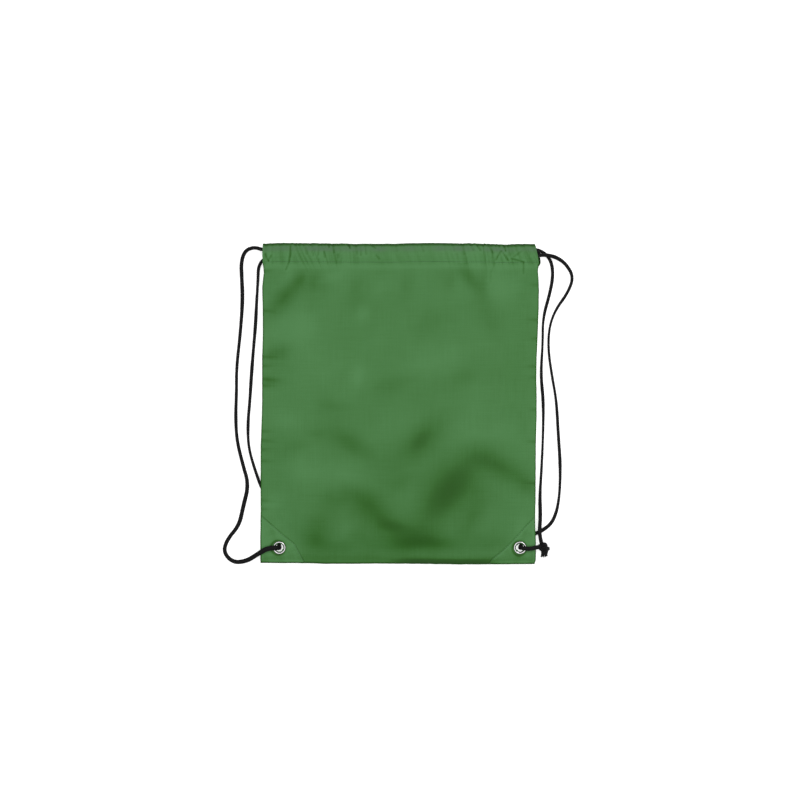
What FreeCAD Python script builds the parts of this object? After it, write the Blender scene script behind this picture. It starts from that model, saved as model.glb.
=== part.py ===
"""Drawstring backpack of woven polyester, lying on its back with its cords laid out beside it.

Frame: +X to the bag's right as it is looked at from above, +Y towards the mouth, +Z up through
the bag's thickness.  The origin is the bottom centre of the bag's box without its cords.
The bag is two panels sewn along three sides.  Each panel's top edge is folded into a casing.
Two cords run through both casings, one from each side, and each ends in a bottom corner, where
it passes through an eyelet and is tied to its own other end.
"""

import FreeCAD, Part
import math
import os

Vector = FreeCAD.Vector

# Driving dimensions, in millimetres.
bag_width = 362.0
bag_height = 420.0
cloth = 0.8                 # one layer with its lining of slack
casing_depth = 26.0         # from the top edge to the casing's stitching
casing_wall = 0.4
casing_rounding = 0.3       # along the casings' long edges
cord_diameter = 4.6
cord_clearance = 0.3        # all round a cord inside its casing
casing_setback = 15.0       # the casing's inner walls stop this far short of the side
mouth_gap = 4.7             # between the two casings
back_casing_lift = 0.3      # room for the stitching below the back casing
seam_width = 5.0
seam_underside = 7.2        # the sewn edges stand this high, so a cord passes below them
seam_underside_at_mouth = 4.0
edge_above_casing = 0.6     # the front panel's sides at the mouth, over the front casing's base
plateau_above_casing = 2.6  # the front panel's middle, over the front casing's base
seam_overlap = 0.5          # the seam reaches this far up beside the front panel
mouth_transition = 62.0     # length over which the side edges change height at the mouth
back_slope = 70.0           # width over which the back panel falls from its edge to the floor
front_slope = 50.0          # width over which the front panel rises from its edge
flat_past_patch = 28.0      # the corners stay flat this far past their patches
corner_slope = 60.0
moving_gap = 0.3            # between the front panel, which lifts, and what stays
layer_gap = 0.4             # least height between the two panels
patch_leg = 59.0            # leg of the triangular corner patch, from the bag's corner
thread = 0.25
thread_width = 0.6
stitch_inset = 1.2          # from an edge to its row of stitching
eyelet_from_side = 22.5
eyelet_from_bottom = 20.5
eyelet_bore = 11.0
eyelet_barrel_wall = 0.5
eyelet_flange = 17.2
eyelet_flange_rise = 1.0
flange_bulge_inside = 0.86  # height of the flange's curve beside the bore, as a share of its rise
flange_bulge_outside = 0.78
flange_bulge_at = 0.6       # where those heights are, from the crown towards either edge
washer_diameter = 16.6
washer_thickness = 0.7
barrel_roll = 0.45          # the barrel's end, rolled over the washer
bight_reach = 2.2           # the left cord's bight turns this far past the bag's side
hidden_bight_inset = 2.4    # the right cord's bight turns this far inside the bag's side
left_front_from_top = 7.8   # the cords' places in the casings, down from the top edge
left_back_from_top = 17.5
right_front_from_top = 15.4
right_back_from_top = 6.0
leg_gap = 0.3               # between a cord inside its casing and the same cord outside it
floor_clearance = 0.05
knot_length = 17.0
left_knot_thickness = 9.2
right_knot_thickness = 11.4
left_knot_from_side = 31.5  # hidden behind the bag, inside its left side
left_knot_past_patch = 38.5
right_knot_past_side = 9.4  # beside the bag, outside its right side
right_knot_from_bottom = 19.4
left_knot_turn = 8.0        # degrees from +Y, in plan
right_knot_turn = 22.0
left_knot_tails = [(7.5, -11.5, 3.4), (11.0, -3.5, 3.0)]     # x and y from the knot, and height
right_knot_tails = [(-0.2, -10.4, 3.2), (6.0, -8.0, 3.0)]
knot_cover_gap = 1.1        # from the hidden knot up to the back panel
knot_cover_flat = 9.0
knot_cover_slope = 18.0
knot_grid_across = (-17.5, -5.5, 5.5, 14.5)     # the panels' grid lines round the hidden knot
knot_grid_along = (-17.5, -7.0, 7.0, 16.0)
past_edge = 1.0             # a cutting block stands this far past what it cuts

# Sizes worked out from the ones above.
half_width = bag_width / 2.0
half_height = bag_height / 2.0
casing_height = cord_diameter + 2.0 * (cord_clearance + casing_wall)
back_cord_height = back_casing_lift + casing_height / 2.0
front_casing_base = back_casing_lift + casing_height + mouth_gap
front_cord_height = front_casing_base + casing_height / 2.0
front_edge_height = seam_underside + cloth + moving_gap
front_edge_at_mouth = front_casing_base + edge_above_casing
front_plateau = front_casing_base + plateau_above_casing
corner_flat = patch_leg + flat_past_patch       # as a sum of the two edge distances
panel_top_edge = half_height - casing_depth
panel_side = half_width - seam_width
panel_bottom = -half_height + seam_width
tunnel_end = half_width - casing_setback
left_knot_from_bottom = patch_leg + left_knot_past_patch - left_knot_from_side
left_knot_centre = (-half_width + left_knot_from_side, -half_height + left_knot_from_bottom)
right_knot_centre = (half_width + right_knot_past_side, -half_height + right_knot_from_bottom)
knot_cover = left_knot_thickness + knot_cover_gap

# Free stretches of cord, each from inside its casing to its knot: x, y and height above the floor.
left_outer_route = [
    (-166.5, 202.2, 14.0), (-178.5, 201.9, 14.0), (-191.0, 206.2, 11.4), (-203.6, 202.2, 6.2),
    (-209.0, 187.5, 2.35), (-208.4, 168.0, 2.35), (-206.9, 138.0, 2.35), (-210.2, 92.0, 2.35),
    (-215.2, 48.0, 2.35), (-215.2, 14.0, 2.35), (-216.4, -16.0, 2.35), (-214.9, -48.0, 2.35),
    (-206.9, -80.0, 2.35), (-199.1, -107.0, 2.35), (-206.5, -136.0, 2.35), (-211.5, -160.0, 2.35),
    (-227.6, -179.0, 2.35), (-232.6, -195.6, 2.35), (-220.0, -209.4, 2.35), (-202.0, -207.4, 5.0),
    (-188.0, -198.6, 11.0), (-174.5, -189.8, 14.2), (-158.5, -189.5, 13.0), (-158.5, -189.5, 2.35),
    (-160.5, -176.0, 2.35), (-157.6, -162.0, 2.6), (-151.0, -150.4, 4.2),
]
left_inner_route = [
    (-166.5, 192.5, 3.3), (-178.2, 192.3, 4.0), (-186.4, 181.8, 2.6), (-186.8, 165.0, 2.35),
    (-188.6, 136.0, 2.35), (-190.0, 104.0, 2.35), (-193.4, 66.0, 2.35), (-195.9, 32.0, 2.35),
    (-197.4, 6.0, 2.35), (-200.3, -26.0, 2.35), (-199.6, -57.0, 2.35), (-191.0, -87.0, 2.35),
    (-181.0, -115.0, 2.35), (-167.0, -130.0, 2.35), (-152.0, -137.0, 4.2),
]
right_inner_route = [
    (166.5, 204.0, 3.3), (179.0, 204.2, 4.0), (192.0, 198.6, 2.6), (200.6, 186.5, 2.35),
    (202.2, 168.0, 2.35), (198.2, 146.0, 2.35), (188.8, 113.0, 2.35), (188.7, 80.0, 2.35),
    (186.0, 38.0, 2.35), (189.6, 4.0, 2.35), (189.2, -40.0, 2.35), (187.2, -84.0, 2.35),
    (184.8, -121.0, 2.35), (185.4, -147.0, 6.6), (184.4, -161.5, 9.6), (184.2, -173.5, 9.6),
    (186.8, -183.6, 7.0),
]
right_outer_route = [
    (166.5, 194.6, 14.0), (178.4, 194.4, 14.0), (190.5, 196.0, 13.6), (205.5, 193.6, 8.0),
    (219.5, 184.5, 2.35), (229.5, 167.0, 2.35), (221.6, 146.0, 2.35), (205.4, 124.0, 2.35),
    (197.2, 101.0, 2.35), (195.8, 72.0, 2.35), (200.6, 38.0, 2.35), (206.8, 4.0, 2.35),
    (209.0, -38.0, 2.35), (212.3, -86.0, 2.35), (210.2, -130.0, 2.35), (202.4, -156.0, 2.35),
    (188.0, -167.5, 2.35), (174.0, -173.0, 2.35), (163.0, -179.8, 2.35), (158.5, -189.5, 2.35),
    (158.5, -189.5, 13.0), (171.0, -191.0, 14.2), (181.4, -188.4, 12.8), (186.8, -188.4, 8.9),
]


def ease(t):
    """Rises smoothly from 0 to 1 as t goes from 0 to 1."""
    t = min(max(t, 0.0), 1.0)
    return t * t * (3.0 - 2.0 * t)


def edge_distances(x, y):
    """Distances inwards from the bag's nearer side and from its bottom edge."""
    return half_width - abs(x), y + half_height


def back_edge(y):
    """Height of the sewn edges' underside: level, and lower beside the mouth."""
    near_mouth = ease((y - panel_top_edge + mouth_transition) / mouth_transition)
    return seam_underside + (seam_underside_at_mouth - seam_underside) * near_mouth


def front_edge(y):
    """Height of the front panel's underside along its side: level, and higher at the mouth."""
    near_mouth = ease((y - panel_top_edge + mouth_transition) / mouth_transition)
    return front_edge_height + (front_edge_at_mouth - front_edge_height) * near_mouth


def back_underside(x, y):
    """Flat on the floor in the middle, raised along the sewn edges and over the hidden knot."""
    side, bottom = edge_distances(x, y)
    rise = max(
        1.0 - ease((side - seam_width) / back_slope),
        1.0 - ease((bottom - seam_width) / back_slope),
        1.0 - ease((side + bottom - corner_flat) / corner_slope),
    )
    from_knot = math.hypot(x - left_knot_centre[0], y - left_knot_centre[1])
    over_knot = 1.0 - ease((from_knot - knot_cover_flat) / knot_cover_slope)
    return max(back_edge(y) * rise, knot_cover * over_knot)


def back_topside(x, y):
    return back_underside(x, y) + cloth


def front_underside(x, y):
    """Level over the middle, down to the sewn edges, and always clear of the back panel."""
    side, bottom = edge_distances(x, y)
    inwards = min(side - seam_width, bottom - seam_width, (side + bottom - patch_leg) / math.sqrt(2.0))
    level = front_edge(y) + (front_plateau - front_edge(y)) * ease(inwards / front_slope)
    return max(level, back_topside(x, y) + layer_gap)


def front_topside(x, y):
    return front_underside(x, y) + cloth


def seam_low(x, y):
    return back_edge(y)


def seam_high(x, y):
    return front_edge(y) + seam_overlap


def grid_lines(low, high, margins):
    """Grid lines from low to high, close together at both ends and wide in the middle."""
    middle = (low + high) / 2.0
    lines = {round(low + m, 6) for m in margins if low + m < middle}
    lines |= {round(high - m, 6) for m in margins if high - m > middle}
    return sorted(lines | {round(middle, 6)})


def triangle(a, b, c):
    return Part.Face(Part.makePolygon([a, b, c, a]))


def relief_plate(xs, ys, underside, topside):
    """A closed plate over a grid: its lower and upper faces follow two height formulas."""
    low = [[Vector(x, y, underside(x, y)) for y in ys] for x in xs]
    high = [[Vector(x, y, topside(x, y)) for y in ys] for x in xs]
    last_x, last_y = len(xs) - 1, len(ys) - 1
    faces = []
    for i in range(last_x):
        for j in range(last_y):
            for sheet in (low, high):
                a, b = sheet[i][j], sheet[i + 1][j]
                c, d = sheet[i + 1][j + 1], sheet[i][j + 1]
                faces += [triangle(a, b, c), triangle(a, c, d)]
    rim = [((i, 0), (i + 1, 0)) for i in range(last_x)]
    rim += [((i, last_y), (i + 1, last_y)) for i in range(last_x)]
    rim += [((0, j), (0, j + 1)) for j in range(last_y)]
    rim += [((last_x, j), (last_x, j + 1)) for j in range(last_y)]
    for (i, j), (m, n) in rim:
        faces.append(triangle(low[i][j], low[m][n], high[m][n]))
        faces.append(triangle(low[i][j], high[m][n], high[i][j]))
    shell = Part.makeShell(faces)
    shell.sewShape()
    solid = Part.makeSolid(shell)
    if solid.Volume < 0:
        solid.reverse()
    return solid


def box(x0, x1, y0, y1, z0, z1):
    return Part.makeBox(x1 - x0, y1 - y0, z1 - z0, Vector(x0, y0, z0))


def prism(corners, z0, z1):
    """A flat-sided block over a polygon in plan."""
    wire = Part.makePolygon([Vector(x, y, z0) for x, y in corners + corners[:1]])
    return Part.Face(wire).extrude(Vector(0, 0, z1 - z0))


def ring(centre, inner, outer, z0, z1):
    base = Vector(centre[0], centre[1], z0)
    return Part.makeCylinder(outer, z1 - z0, base).cut(Part.makeCylinder(inner, z1 - z0, base))


knot_lines_across = [left_knot_from_side - seam_width + m for m in knot_grid_across]
knot_lines_along = [left_knot_from_bottom - seam_width + m for m in knot_grid_along]
side_margins = [0.0] + knot_lines_across + [64.0, 82.0, 110.0]
length_margins = [0.0, 8.0, 17.0, 27.0, 38.0] + knot_lines_along + [110.0, 150.0]


def panel_grid(gap):
    """The panels' grid lines, with the outermost ones a gap inside the seams."""
    xs = grid_lines(-panel_side, panel_side, side_margins)
    ys = grid_lines(panel_bottom, panel_top_edge, length_margins)
    xs[0], xs[-1] = -panel_side + gap, panel_side - gap
    ys[0] = panel_bottom + gap
    return xs, ys


def eyelet_centre(side):
    """Centre of one eyelet in plan; side is -1 on the left and +1 on the right."""
    return side * (half_width - eyelet_from_side), -half_height + eyelet_from_bottom


def barrel_hole(side):
    """The hole that an eyelet's barrel fills, through everything at that corner."""
    x, y = eyelet_centre(side)
    radius = eyelet_bore / 2.0 + eyelet_barrel_wall
    return Part.makeCylinder(radius, 4.0 * front_plateau, Vector(x, y, -front_plateau))


def back_panel():
    plate = relief_plate(*panel_grid(0.0), back_underside, back_topside)
    return plate.cut(barrel_hole(-1)).cut(barrel_hole(1))


def front_panel():
    """The lifting panel, cut away over the corner patches."""
    plate = relief_plate(*panel_grid(moving_gap), front_underside, front_topside)
    leg = patch_leg + moving_gap * math.sqrt(2.0)
    for side in (-1, 1):
        corner = [
            (side * half_width, -half_height),
            (side * (half_width - leg), -half_height),
            (side * half_width, -half_height + leg),
        ]
        plate = plate.cut(prism(corner, -front_plateau, 3.0 * front_plateau))
    return plate


def side_seam(side):
    inner, outer = sorted((side * panel_side, side * half_width))
    ys = grid_lines(panel_bottom, panel_top_edge, length_margins)
    return relief_plate([inner, outer], ys, seam_low, seam_high)


def bottom_seam():
    return box(
        -half_width, half_width, -half_height, panel_bottom,
        seam_underside, front_edge_height + seam_overlap,
    )


def casing(base, outer_wall_above):
    """A flat tube across the bag whose outer wall alone runs on to the sides."""
    top = base + casing_height
    tube = box(-half_width, half_width, panel_top_edge, half_height, base, top)
    tube = tube.makeFillet(casing_rounding, [e for e in tube.Edges if abs(e.tangentAt(0).x) > 0.9])
    tube = tube.cut(box(
        -half_width, half_width, panel_top_edge + casing_wall, half_height - casing_wall,
        base + casing_wall, top - casing_wall,
    ))
    low, high = (base, top - casing_wall) if outer_wall_above else (base + casing_wall, top)
    for side in (-1, 1):
        inner, outer = sorted((side * tunnel_end, side * (half_width + past_edge)))
        y0, y1 = panel_top_edge - past_edge, half_height + past_edge
        tube = tube.cut(box(inner, outer, y0, y1, low, high))
    return tube


def casing_stitching(base):
    """A row of thread along a casing's sewn edge."""
    y = panel_top_edge + stitch_inset
    reach = half_width - stitch_inset
    return box(-reach, reach, y, y + thread_width, base, base + thread)


def patch_corners(side):
    """The corner patch in plan: a right triangle inside the seams."""
    leg = patch_leg - 2.0 * seam_width
    return [
        (side * panel_side, panel_bottom),
        (side * (panel_side - leg), panel_bottom),
        (side * panel_side, panel_bottom + leg),
    ]


def front_patch(side):
    base = seam_underside + cloth
    return prism(patch_corners(side), base, base + cloth).cut(barrel_hole(side))


def back_patch(side):
    return prism(patch_corners(side), seam_underside - cloth, seam_underside).cut(barrel_hole(side))


def patch_row(side, z0):
    """Thread along a patch's slanting edge, just inside it."""
    leg = patch_leg - 2.0 * seam_width - stitch_inset * math.sqrt(2.0)
    narrow = leg - thread_width * math.sqrt(2.0)
    corners = [
        (side * (panel_side - leg), panel_bottom),
        (side * (panel_side - narrow), panel_bottom),
        (side * panel_side, panel_bottom + narrow),
        (side * panel_side, panel_bottom + leg),
    ]
    return prism(corners, z0, z0 + thread)


def patch_stitching(side):
    """The rows on the front patch and on the back patch."""
    above = patch_row(side, seam_underside + 2.0 * cloth)
    below = patch_row(side, seam_underside - cloth - thread)
    return Part.makeCompound([above, below])


def eyelet(side):
    """Flange and barrel in one turned piece, with the barrel's end rolled over the washer."""
    x, y = eyelet_centre(side)
    bore = eyelet_bore / 2.0
    barrel = bore + eyelet_barrel_wall
    seat = seam_underside + 2.0 * cloth
    top = seat + eyelet_flange_rise
    washer_base = seam_underside - cloth - washer_thickness
    rolled = barrel + 2.0 * barrel_roll
    edge = eyelet_flange / 2.0
    crown = (barrel + edge) / 2.0
    inside, outside = flange_bulge_at * (crown - bore), flange_bulge_at * (edge - crown)
    outline = [
        Part.LineSegment(Vector(bore, 0, washer_base - barrel_roll), Vector(bore, 0, seat)),
        Part.Arc(
            Vector(bore, 0, seat),
            Vector(crown - inside, 0, seat + flange_bulge_inside * eyelet_flange_rise),
            Vector(crown, 0, top),
        ),
        Part.Arc(
            Vector(crown, 0, top),
            Vector(crown + outside, 0, seat + flange_bulge_outside * eyelet_flange_rise),
            Vector(edge, 0, seat),
        ),
        Part.LineSegment(Vector(edge, 0, seat), Vector(barrel, 0, seat)),
        Part.LineSegment(Vector(barrel, 0, seat), Vector(barrel, 0, washer_base)),
        Part.LineSegment(Vector(barrel, 0, washer_base), Vector(rolled, 0, washer_base)),
        Part.LineSegment(Vector(rolled, 0, washer_base), Vector(bore, 0, washer_base - barrel_roll)),
    ]
    face = Part.Face(Part.Wire([piece.toShape() for piece in outline]))
    turned = face.revolve(Vector(0, 0, 0), Vector(0, 0, 1), 360)
    turned.translate(Vector(x, y, 0))
    return turned


def eyelet_washer(side):
    base = seam_underside - cloth - washer_thickness
    barrel = eyelet_bore / 2.0 + eyelet_barrel_wall
    return ring(eyelet_centre(side), barrel, washer_diameter / 2.0, base, base + washer_thickness)


def cord_path(points):
    """Straight runs joined by tangent arcs, each as large as its two runs allow, and its radii."""
    corners = [Vector(*p) for p in points]
    edges, radii, start = [], [], corners[0]
    for before, corner, after in zip(corners, corners[1:], corners[2:]):
        back, ahead = before - corner, after - corner
        reach = 0.45 * min(back.Length, ahead.Length)
        turn = math.pi - back.getAngle(ahead)
        radius = reach / math.tan(turn / 2.0)
        back.normalize()
        ahead.normalize()
        first, last = corner + back * reach, corner + ahead * reach
        inwards = back + ahead
        inwards.normalize()
        middle = corner + inwards * (math.hypot(radius, reach) - radius)
        edges.append(Part.LineSegment(start, first).toShape())
        edges.append(Part.Arc(first, middle, last).toShape())
        radii.append(radius)
        start = last
    edges.append(Part.LineSegment(start, corners[-1]).toShape())
    return Part.Wire(edges), radii


def cord_tube(name, points):
    """A round cord along a route, with its radii and its volume against section times length."""
    path, radii = cord_path(points)
    first = Vector(*points[0])
    circle = Part.Circle(first, Vector(*points[1]) - first, cord_diameter / 2.0)
    tube = path.makePipeShell([Part.Wire([circle.toShape()])], True, False)
    expected = math.pi * cord_diameter ** 2 / 4.0 * path.Length
    print(name, "length", round(path.Length, 1), "volume ratio", round(tube.Volume / expected, 4))
    print("  radii", [round(r, 1) for r in radii])
    return tube


def casing_leg(from_top, height):
    """The straight stretch of a cord inside one casing."""
    reach = tunnel_end
    start = Vector(-reach, half_height - from_top, height)
    return Part.makeCylinder(cord_diameter / 2.0, 2.0 * reach, start, Vector(1, 0, 0))


def left_bight_route():
    """Out of the front casing's right end and back into the back casing."""
    turn_at = half_width + bight_reach
    front_y, back_y = half_height - left_front_from_top, half_height - left_back_from_top
    return [
        (tunnel_end + leg_gap, front_y, front_cord_height), (turn_at, front_y, front_cord_height),
        (turn_at, back_y, back_cord_height), (tunnel_end, back_y, back_cord_height),
    ]


def right_bight_route():
    """The same turn at the left end, hidden between the casings' outer walls."""
    turn_at = -half_width + hidden_bight_inset
    front_y, back_y = half_height - right_front_from_top, half_height - right_back_from_top
    return [
        (-tunnel_end - leg_gap, front_y, front_cord_height), (turn_at, front_y, front_cord_height),
        (turn_at, back_y, back_cord_height), (-tunnel_end, back_y, back_cord_height),
    ]


def knot(centre, turn, thickness, tails):
    """A rounded overhand knot on the floor, with the two cord tails that stick out of it."""
    radius = thickness / 2.0
    heart = Vector(centre[0], centre[1], radius + floor_clearance)
    along = Vector(-math.sin(math.radians(turn)), math.cos(math.radians(turn)), 0)
    reach = along * (knot_length / 2.0 - radius)
    body = Part.makeCylinder(radius, 2.0 * reach.Length, heart - reach, along)
    for end in (heart - reach, heart + reach):
        body = body.fuse(Part.makeSphere(radius, end))
    for x, y, height in tails:
        tail = Vector(x, y, height - heart.z)
        body = body.fuse(Part.makeCylinder(cord_diameter / 2.0, tail.Length, heart, tail))
    return body.removeSplitter()


pieces = {
    "back_panel": back_panel(),
    "back_casing": casing(back_casing_lift, False),
    "back_casing_stitching": casing_stitching(back_casing_lift - thread),
    "bottom_seam": bottom_seam(),
    "front_panel": front_panel(),
    "front_casing": casing(front_casing_base, True),
    "front_casing_stitching": casing_stitching(front_casing_base + casing_height),
    "left_cord_outer": cord_tube("left_cord_outer", left_outer_route),
    "left_cord_inner": cord_tube("left_cord_inner", left_inner_route),
    "right_cord_outer": cord_tube("right_cord_outer", right_outer_route),
    "right_cord_inner": cord_tube("right_cord_inner", right_inner_route),
    "left_cord_front_leg": casing_leg(left_front_from_top, front_cord_height),
    "left_cord_back_leg": casing_leg(left_back_from_top, back_cord_height),
    "right_cord_front_leg": casing_leg(right_front_from_top, front_cord_height),
    "right_cord_back_leg": casing_leg(right_back_from_top, back_cord_height),
    "left_cord_bight": cord_tube("left_cord_bight", left_bight_route()),
    "right_cord_bight": cord_tube("right_cord_bight", right_bight_route()),
    "left_knot": knot(
        left_knot_centre, left_knot_turn, left_knot_thickness, left_knot_tails,
    ),
    "right_knot": knot(
        right_knot_centre, right_knot_turn, right_knot_thickness, right_knot_tails,
    ),
}
for side_name, side in (("left", -1), ("right", 1)):
    pieces[side_name + "_side_seam"] = side_seam(side)
    pieces[side_name + "_front_patch"] = front_patch(side)
    pieces[side_name + "_back_patch"] = back_patch(side)
    pieces[side_name + "_patch_stitching"] = patch_stitching(side)
    pieces[side_name + "_eyelet"] = eyelet(side)
    pieces[side_name + "_eyelet_washer"] = eyelet_washer(side)

os.makedirs("parts", exist_ok=True)
for name, shape in pieces.items():
    if not shape.isValid():
        print(name, "is not a valid shape")
    shape.exportStep("parts/" + name + ".step")
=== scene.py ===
"""Drawstring backpack of woven polyester, laid flat with its braided cords beside it.

Builds the cloth, seams, stitching, eyelets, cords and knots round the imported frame, in metres.
+X is the bag's right seen from above, +Y runs towards the mouth and +Z up from the floor.
"""

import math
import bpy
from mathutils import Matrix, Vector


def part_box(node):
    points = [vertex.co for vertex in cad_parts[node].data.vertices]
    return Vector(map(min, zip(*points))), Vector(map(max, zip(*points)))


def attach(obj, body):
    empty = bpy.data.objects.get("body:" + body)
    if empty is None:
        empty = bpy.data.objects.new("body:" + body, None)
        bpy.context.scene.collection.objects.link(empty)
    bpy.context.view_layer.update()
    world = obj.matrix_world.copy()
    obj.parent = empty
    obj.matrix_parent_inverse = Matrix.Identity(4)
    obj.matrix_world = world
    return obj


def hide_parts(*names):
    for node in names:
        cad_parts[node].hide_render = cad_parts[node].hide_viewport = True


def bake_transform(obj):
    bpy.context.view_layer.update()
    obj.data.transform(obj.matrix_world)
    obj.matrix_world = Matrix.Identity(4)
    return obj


bl_info = {
    "name": "Drawstring Backpack",
    "version": (1, 0, 0),
    "blender": (4, 5, 0),
    "location": "View3D > Sidebar > Backpack",
    "description": "Builds a drawstring backpack of woven polyester with braided cords",
    "category": "Object",
}

import bpy
import numpy as np

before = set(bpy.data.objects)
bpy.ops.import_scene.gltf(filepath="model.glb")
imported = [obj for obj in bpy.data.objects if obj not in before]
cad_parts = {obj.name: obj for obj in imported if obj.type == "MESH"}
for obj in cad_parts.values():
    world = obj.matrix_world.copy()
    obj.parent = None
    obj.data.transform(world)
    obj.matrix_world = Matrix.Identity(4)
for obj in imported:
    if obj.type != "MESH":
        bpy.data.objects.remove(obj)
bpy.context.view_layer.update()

# ---------------------------------------------------------------------------
# Places and sizes taken from the frame
# ---------------------------------------------------------------------------


def low(node):
    """Lowest corner of a CAD node at rest."""
    return np.array(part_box(node)[0])


def high(node):
    """Highest corner of a CAD node at rest."""
    return np.array(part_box(node)[1])


HALF_WIDTH = high("bottom_seam")[0]
BOTTOM = low("bottom_seam")[1]
TOP = high("front_casing")[1]
CASING_LINE = low("front_casing")[1]
SEAM_WIDTH = high("bottom_seam")[1] - BOTTOM
TUNNEL_REACH = high("left_cord_back_leg")[0]
PLATEAU = high("front_panel")[2]
SEAM_UNDERSIDE = high("left_back_patch")[2]
PATCH_TOP = high("left_front_patch")[2]
SEAM_BASE_AT_MOUTH = low("left_side_seam")[2]
PATCH_LEG = high("left_front_patch")[0] - low("left_front_patch")[0] + 2.0 * SEAM_WIDTH
EYELET_X = (high("right_eyelet")[0] + low("right_eyelet")[0]) / 2.0
EYELET_Y = (high("right_eyelet")[1] + low("right_eyelet")[1]) / 2.0
LEFT_KNOT = np.array([-HALF_WIDTH + 0.0315, BOTTOM + 0.066])
RIGHT_KNOT = np.array([HALF_WIDTH + 0.0086, BOTTOM + 0.0198])

# Cord routes, the same points as the frame's tubes follow.
LEFT_OUTER = [
    (-0.1665, 0.2022, 0.0140), (-0.1785, 0.2019, 0.0140), (-0.1910, 0.2062, 0.0114),
    (-0.2036, 0.2022, 0.0062), (-0.2090, 0.1875, 0.00235), (-0.2084, 0.1680, 0.00235),
    (-0.2069, 0.1380, 0.00235), (-0.2102, 0.0920, 0.00235), (-0.2152, 0.0480, 0.00235),
    (-0.2152, 0.0140, 0.00235), (-0.2164, -0.0160, 0.00235), (-0.2149, -0.0480, 0.00235),
    (-0.2069, -0.0800, 0.00235), (-0.1991, -0.1070, 0.00235), (-0.2065, -0.1360, 0.00235),
    (-0.2115, -0.1600, 0.00235), (-0.2276, -0.1790, 0.00235), (-0.2326, -0.1956, 0.00235),
    (-0.2200, -0.2094, 0.00235), (-0.2020, -0.2074, 0.0050), (-0.1880, -0.1986, 0.0110),
    (-0.1745, -0.1898, 0.0142), (-0.1585, -0.1895, 0.0130), (-0.1585, -0.1895, 0.00235),
    (-0.1605, -0.1760, 0.00235), (-0.1576, -0.1620, 0.0026), (-0.1510, -0.1504, 0.0042),
]
LEFT_INNER = [
    (-0.1665, 0.1925, 0.0033), (-0.1782, 0.1923, 0.0040), (-0.1864, 0.1818, 0.0026),
    (-0.1868, 0.1650, 0.00235), (-0.1886, 0.1360, 0.00235), (-0.1900, 0.1040, 0.00235),
    (-0.1934, 0.0660, 0.00235), (-0.1959, 0.0320, 0.00235), (-0.1974, 0.0060, 0.00235),
    (-0.2003, -0.0260, 0.00235), (-0.1996, -0.0570, 0.00235), (-0.1910, -0.0870, 0.00235),
    (-0.1810, -0.1150, 0.00235), (-0.1670, -0.1300, 0.00235), (-0.1520, -0.1370, 0.0042),
]
RIGHT_INNER = [
    (0.1665, 0.2040, 0.0033), (0.1790, 0.2042, 0.0040), (0.1920, 0.1986, 0.0026),
    (0.2006, 0.1865, 0.00235), (0.2022, 0.1680, 0.00235), (0.1982, 0.1460, 0.00235),
    (0.1888, 0.1130, 0.00235), (0.1887, 0.0800, 0.00235), (0.1860, 0.0380, 0.00235),
    (0.1896, 0.0040, 0.00235), (0.1892, -0.0400, 0.00235), (0.1872, -0.0840, 0.00235),
    (0.1848, -0.1210, 0.00235), (0.1854, -0.1470, 0.0066), (0.1844, -0.1615, 0.0096),
    (0.1842, -0.1735, 0.0096), (0.1868, -0.1836, 0.0070),
]
RIGHT_OUTER = [
    (0.1665, 0.1946, 0.0140), (0.1784, 0.1944, 0.0140), (0.1905, 0.1960, 0.0136),
    (0.2055, 0.1936, 0.0080), (0.2195, 0.1845, 0.00235), (0.2295, 0.1670, 0.00235),
    (0.2216, 0.1460, 0.00235), (0.2054, 0.1240, 0.00235), (0.1972, 0.1010, 0.00235),
    (0.1958, 0.0720, 0.00235), (0.2006, 0.0380, 0.00235), (0.2068, 0.0040, 0.00235),
    (0.2090, -0.0380, 0.00235), (0.2123, -0.0860, 0.00235), (0.2102, -0.1300, 0.00235),
    (0.2024, -0.1560, 0.00235), (0.1880, -0.1675, 0.00235), (0.1740, -0.1730, 0.00235),
    (0.1630, -0.1798, 0.00235), (0.1585, -0.1895, 0.00235), (0.1585, -0.1895, 0.0130),
    (0.1710, -0.1910, 0.0142), (0.1814, -0.1884, 0.0128), (0.1868, -0.1884, 0.0089),
]

# ---------------------------------------------------------------------------
# Sizes and colours that a user would change
# ---------------------------------------------------------------------------


def length(name, description, default):
    """A length property in metres."""
    return bpy.props.FloatProperty(
        name=name, description=description, default=default, min=0.0,
        subtype="DISTANCE", unit="LENGTH", precision=5,
    )


def colour(name, description, default):
    """A colour property."""
    return bpy.props.FloatVectorProperty(
        name=name, description=description, default=default, min=0.0, max=1.0,
        size=3, subtype="COLOR",
    )


class ClothSettings(bpy.types.PropertyGroup):
    """Cloth, folds and seams of the bag."""

    thickness: length("Thickness", "Thickness of one layer of cloth", 0.00035)
    yarn: length("Yarn pitch", "From one yarn of the weave to the next", 0.00045)
    pucker: length("Pucker height", "Height of the gathers along the casing", 0.00085)
    crease: length("Crease depth", "Depth of the sharp creases", 0.0009)
    fold: bpy.props.FloatProperty(
        name="Fold height", description="Scales the broad soft folds", default=1.0,
        min=0.0, max=3.0, subtype="FACTOR",
    )
    # Light and dark green are the cloth with painted sheen and with painted shade; the painted shade and
    # random mottling mix between them.
    light: colour("Light green", "Cloth where its yarns catch the light", (0.066, 0.196, 0.062))
    dark: colour("Dark green", "Cloth where its yarns lie away from the light", (0.018, 0.098, 0.006))
    # A greyer green, painted as a sheen along the fold of the casing.
    painted_sheen: colour("Rubbed green", "Paler yarns along the fold of the casing", (0.068, 0.138, 0.070))
    thread: colour("Thread green", "Sewing thread", (0.028, 0.085, 0.028))


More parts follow.
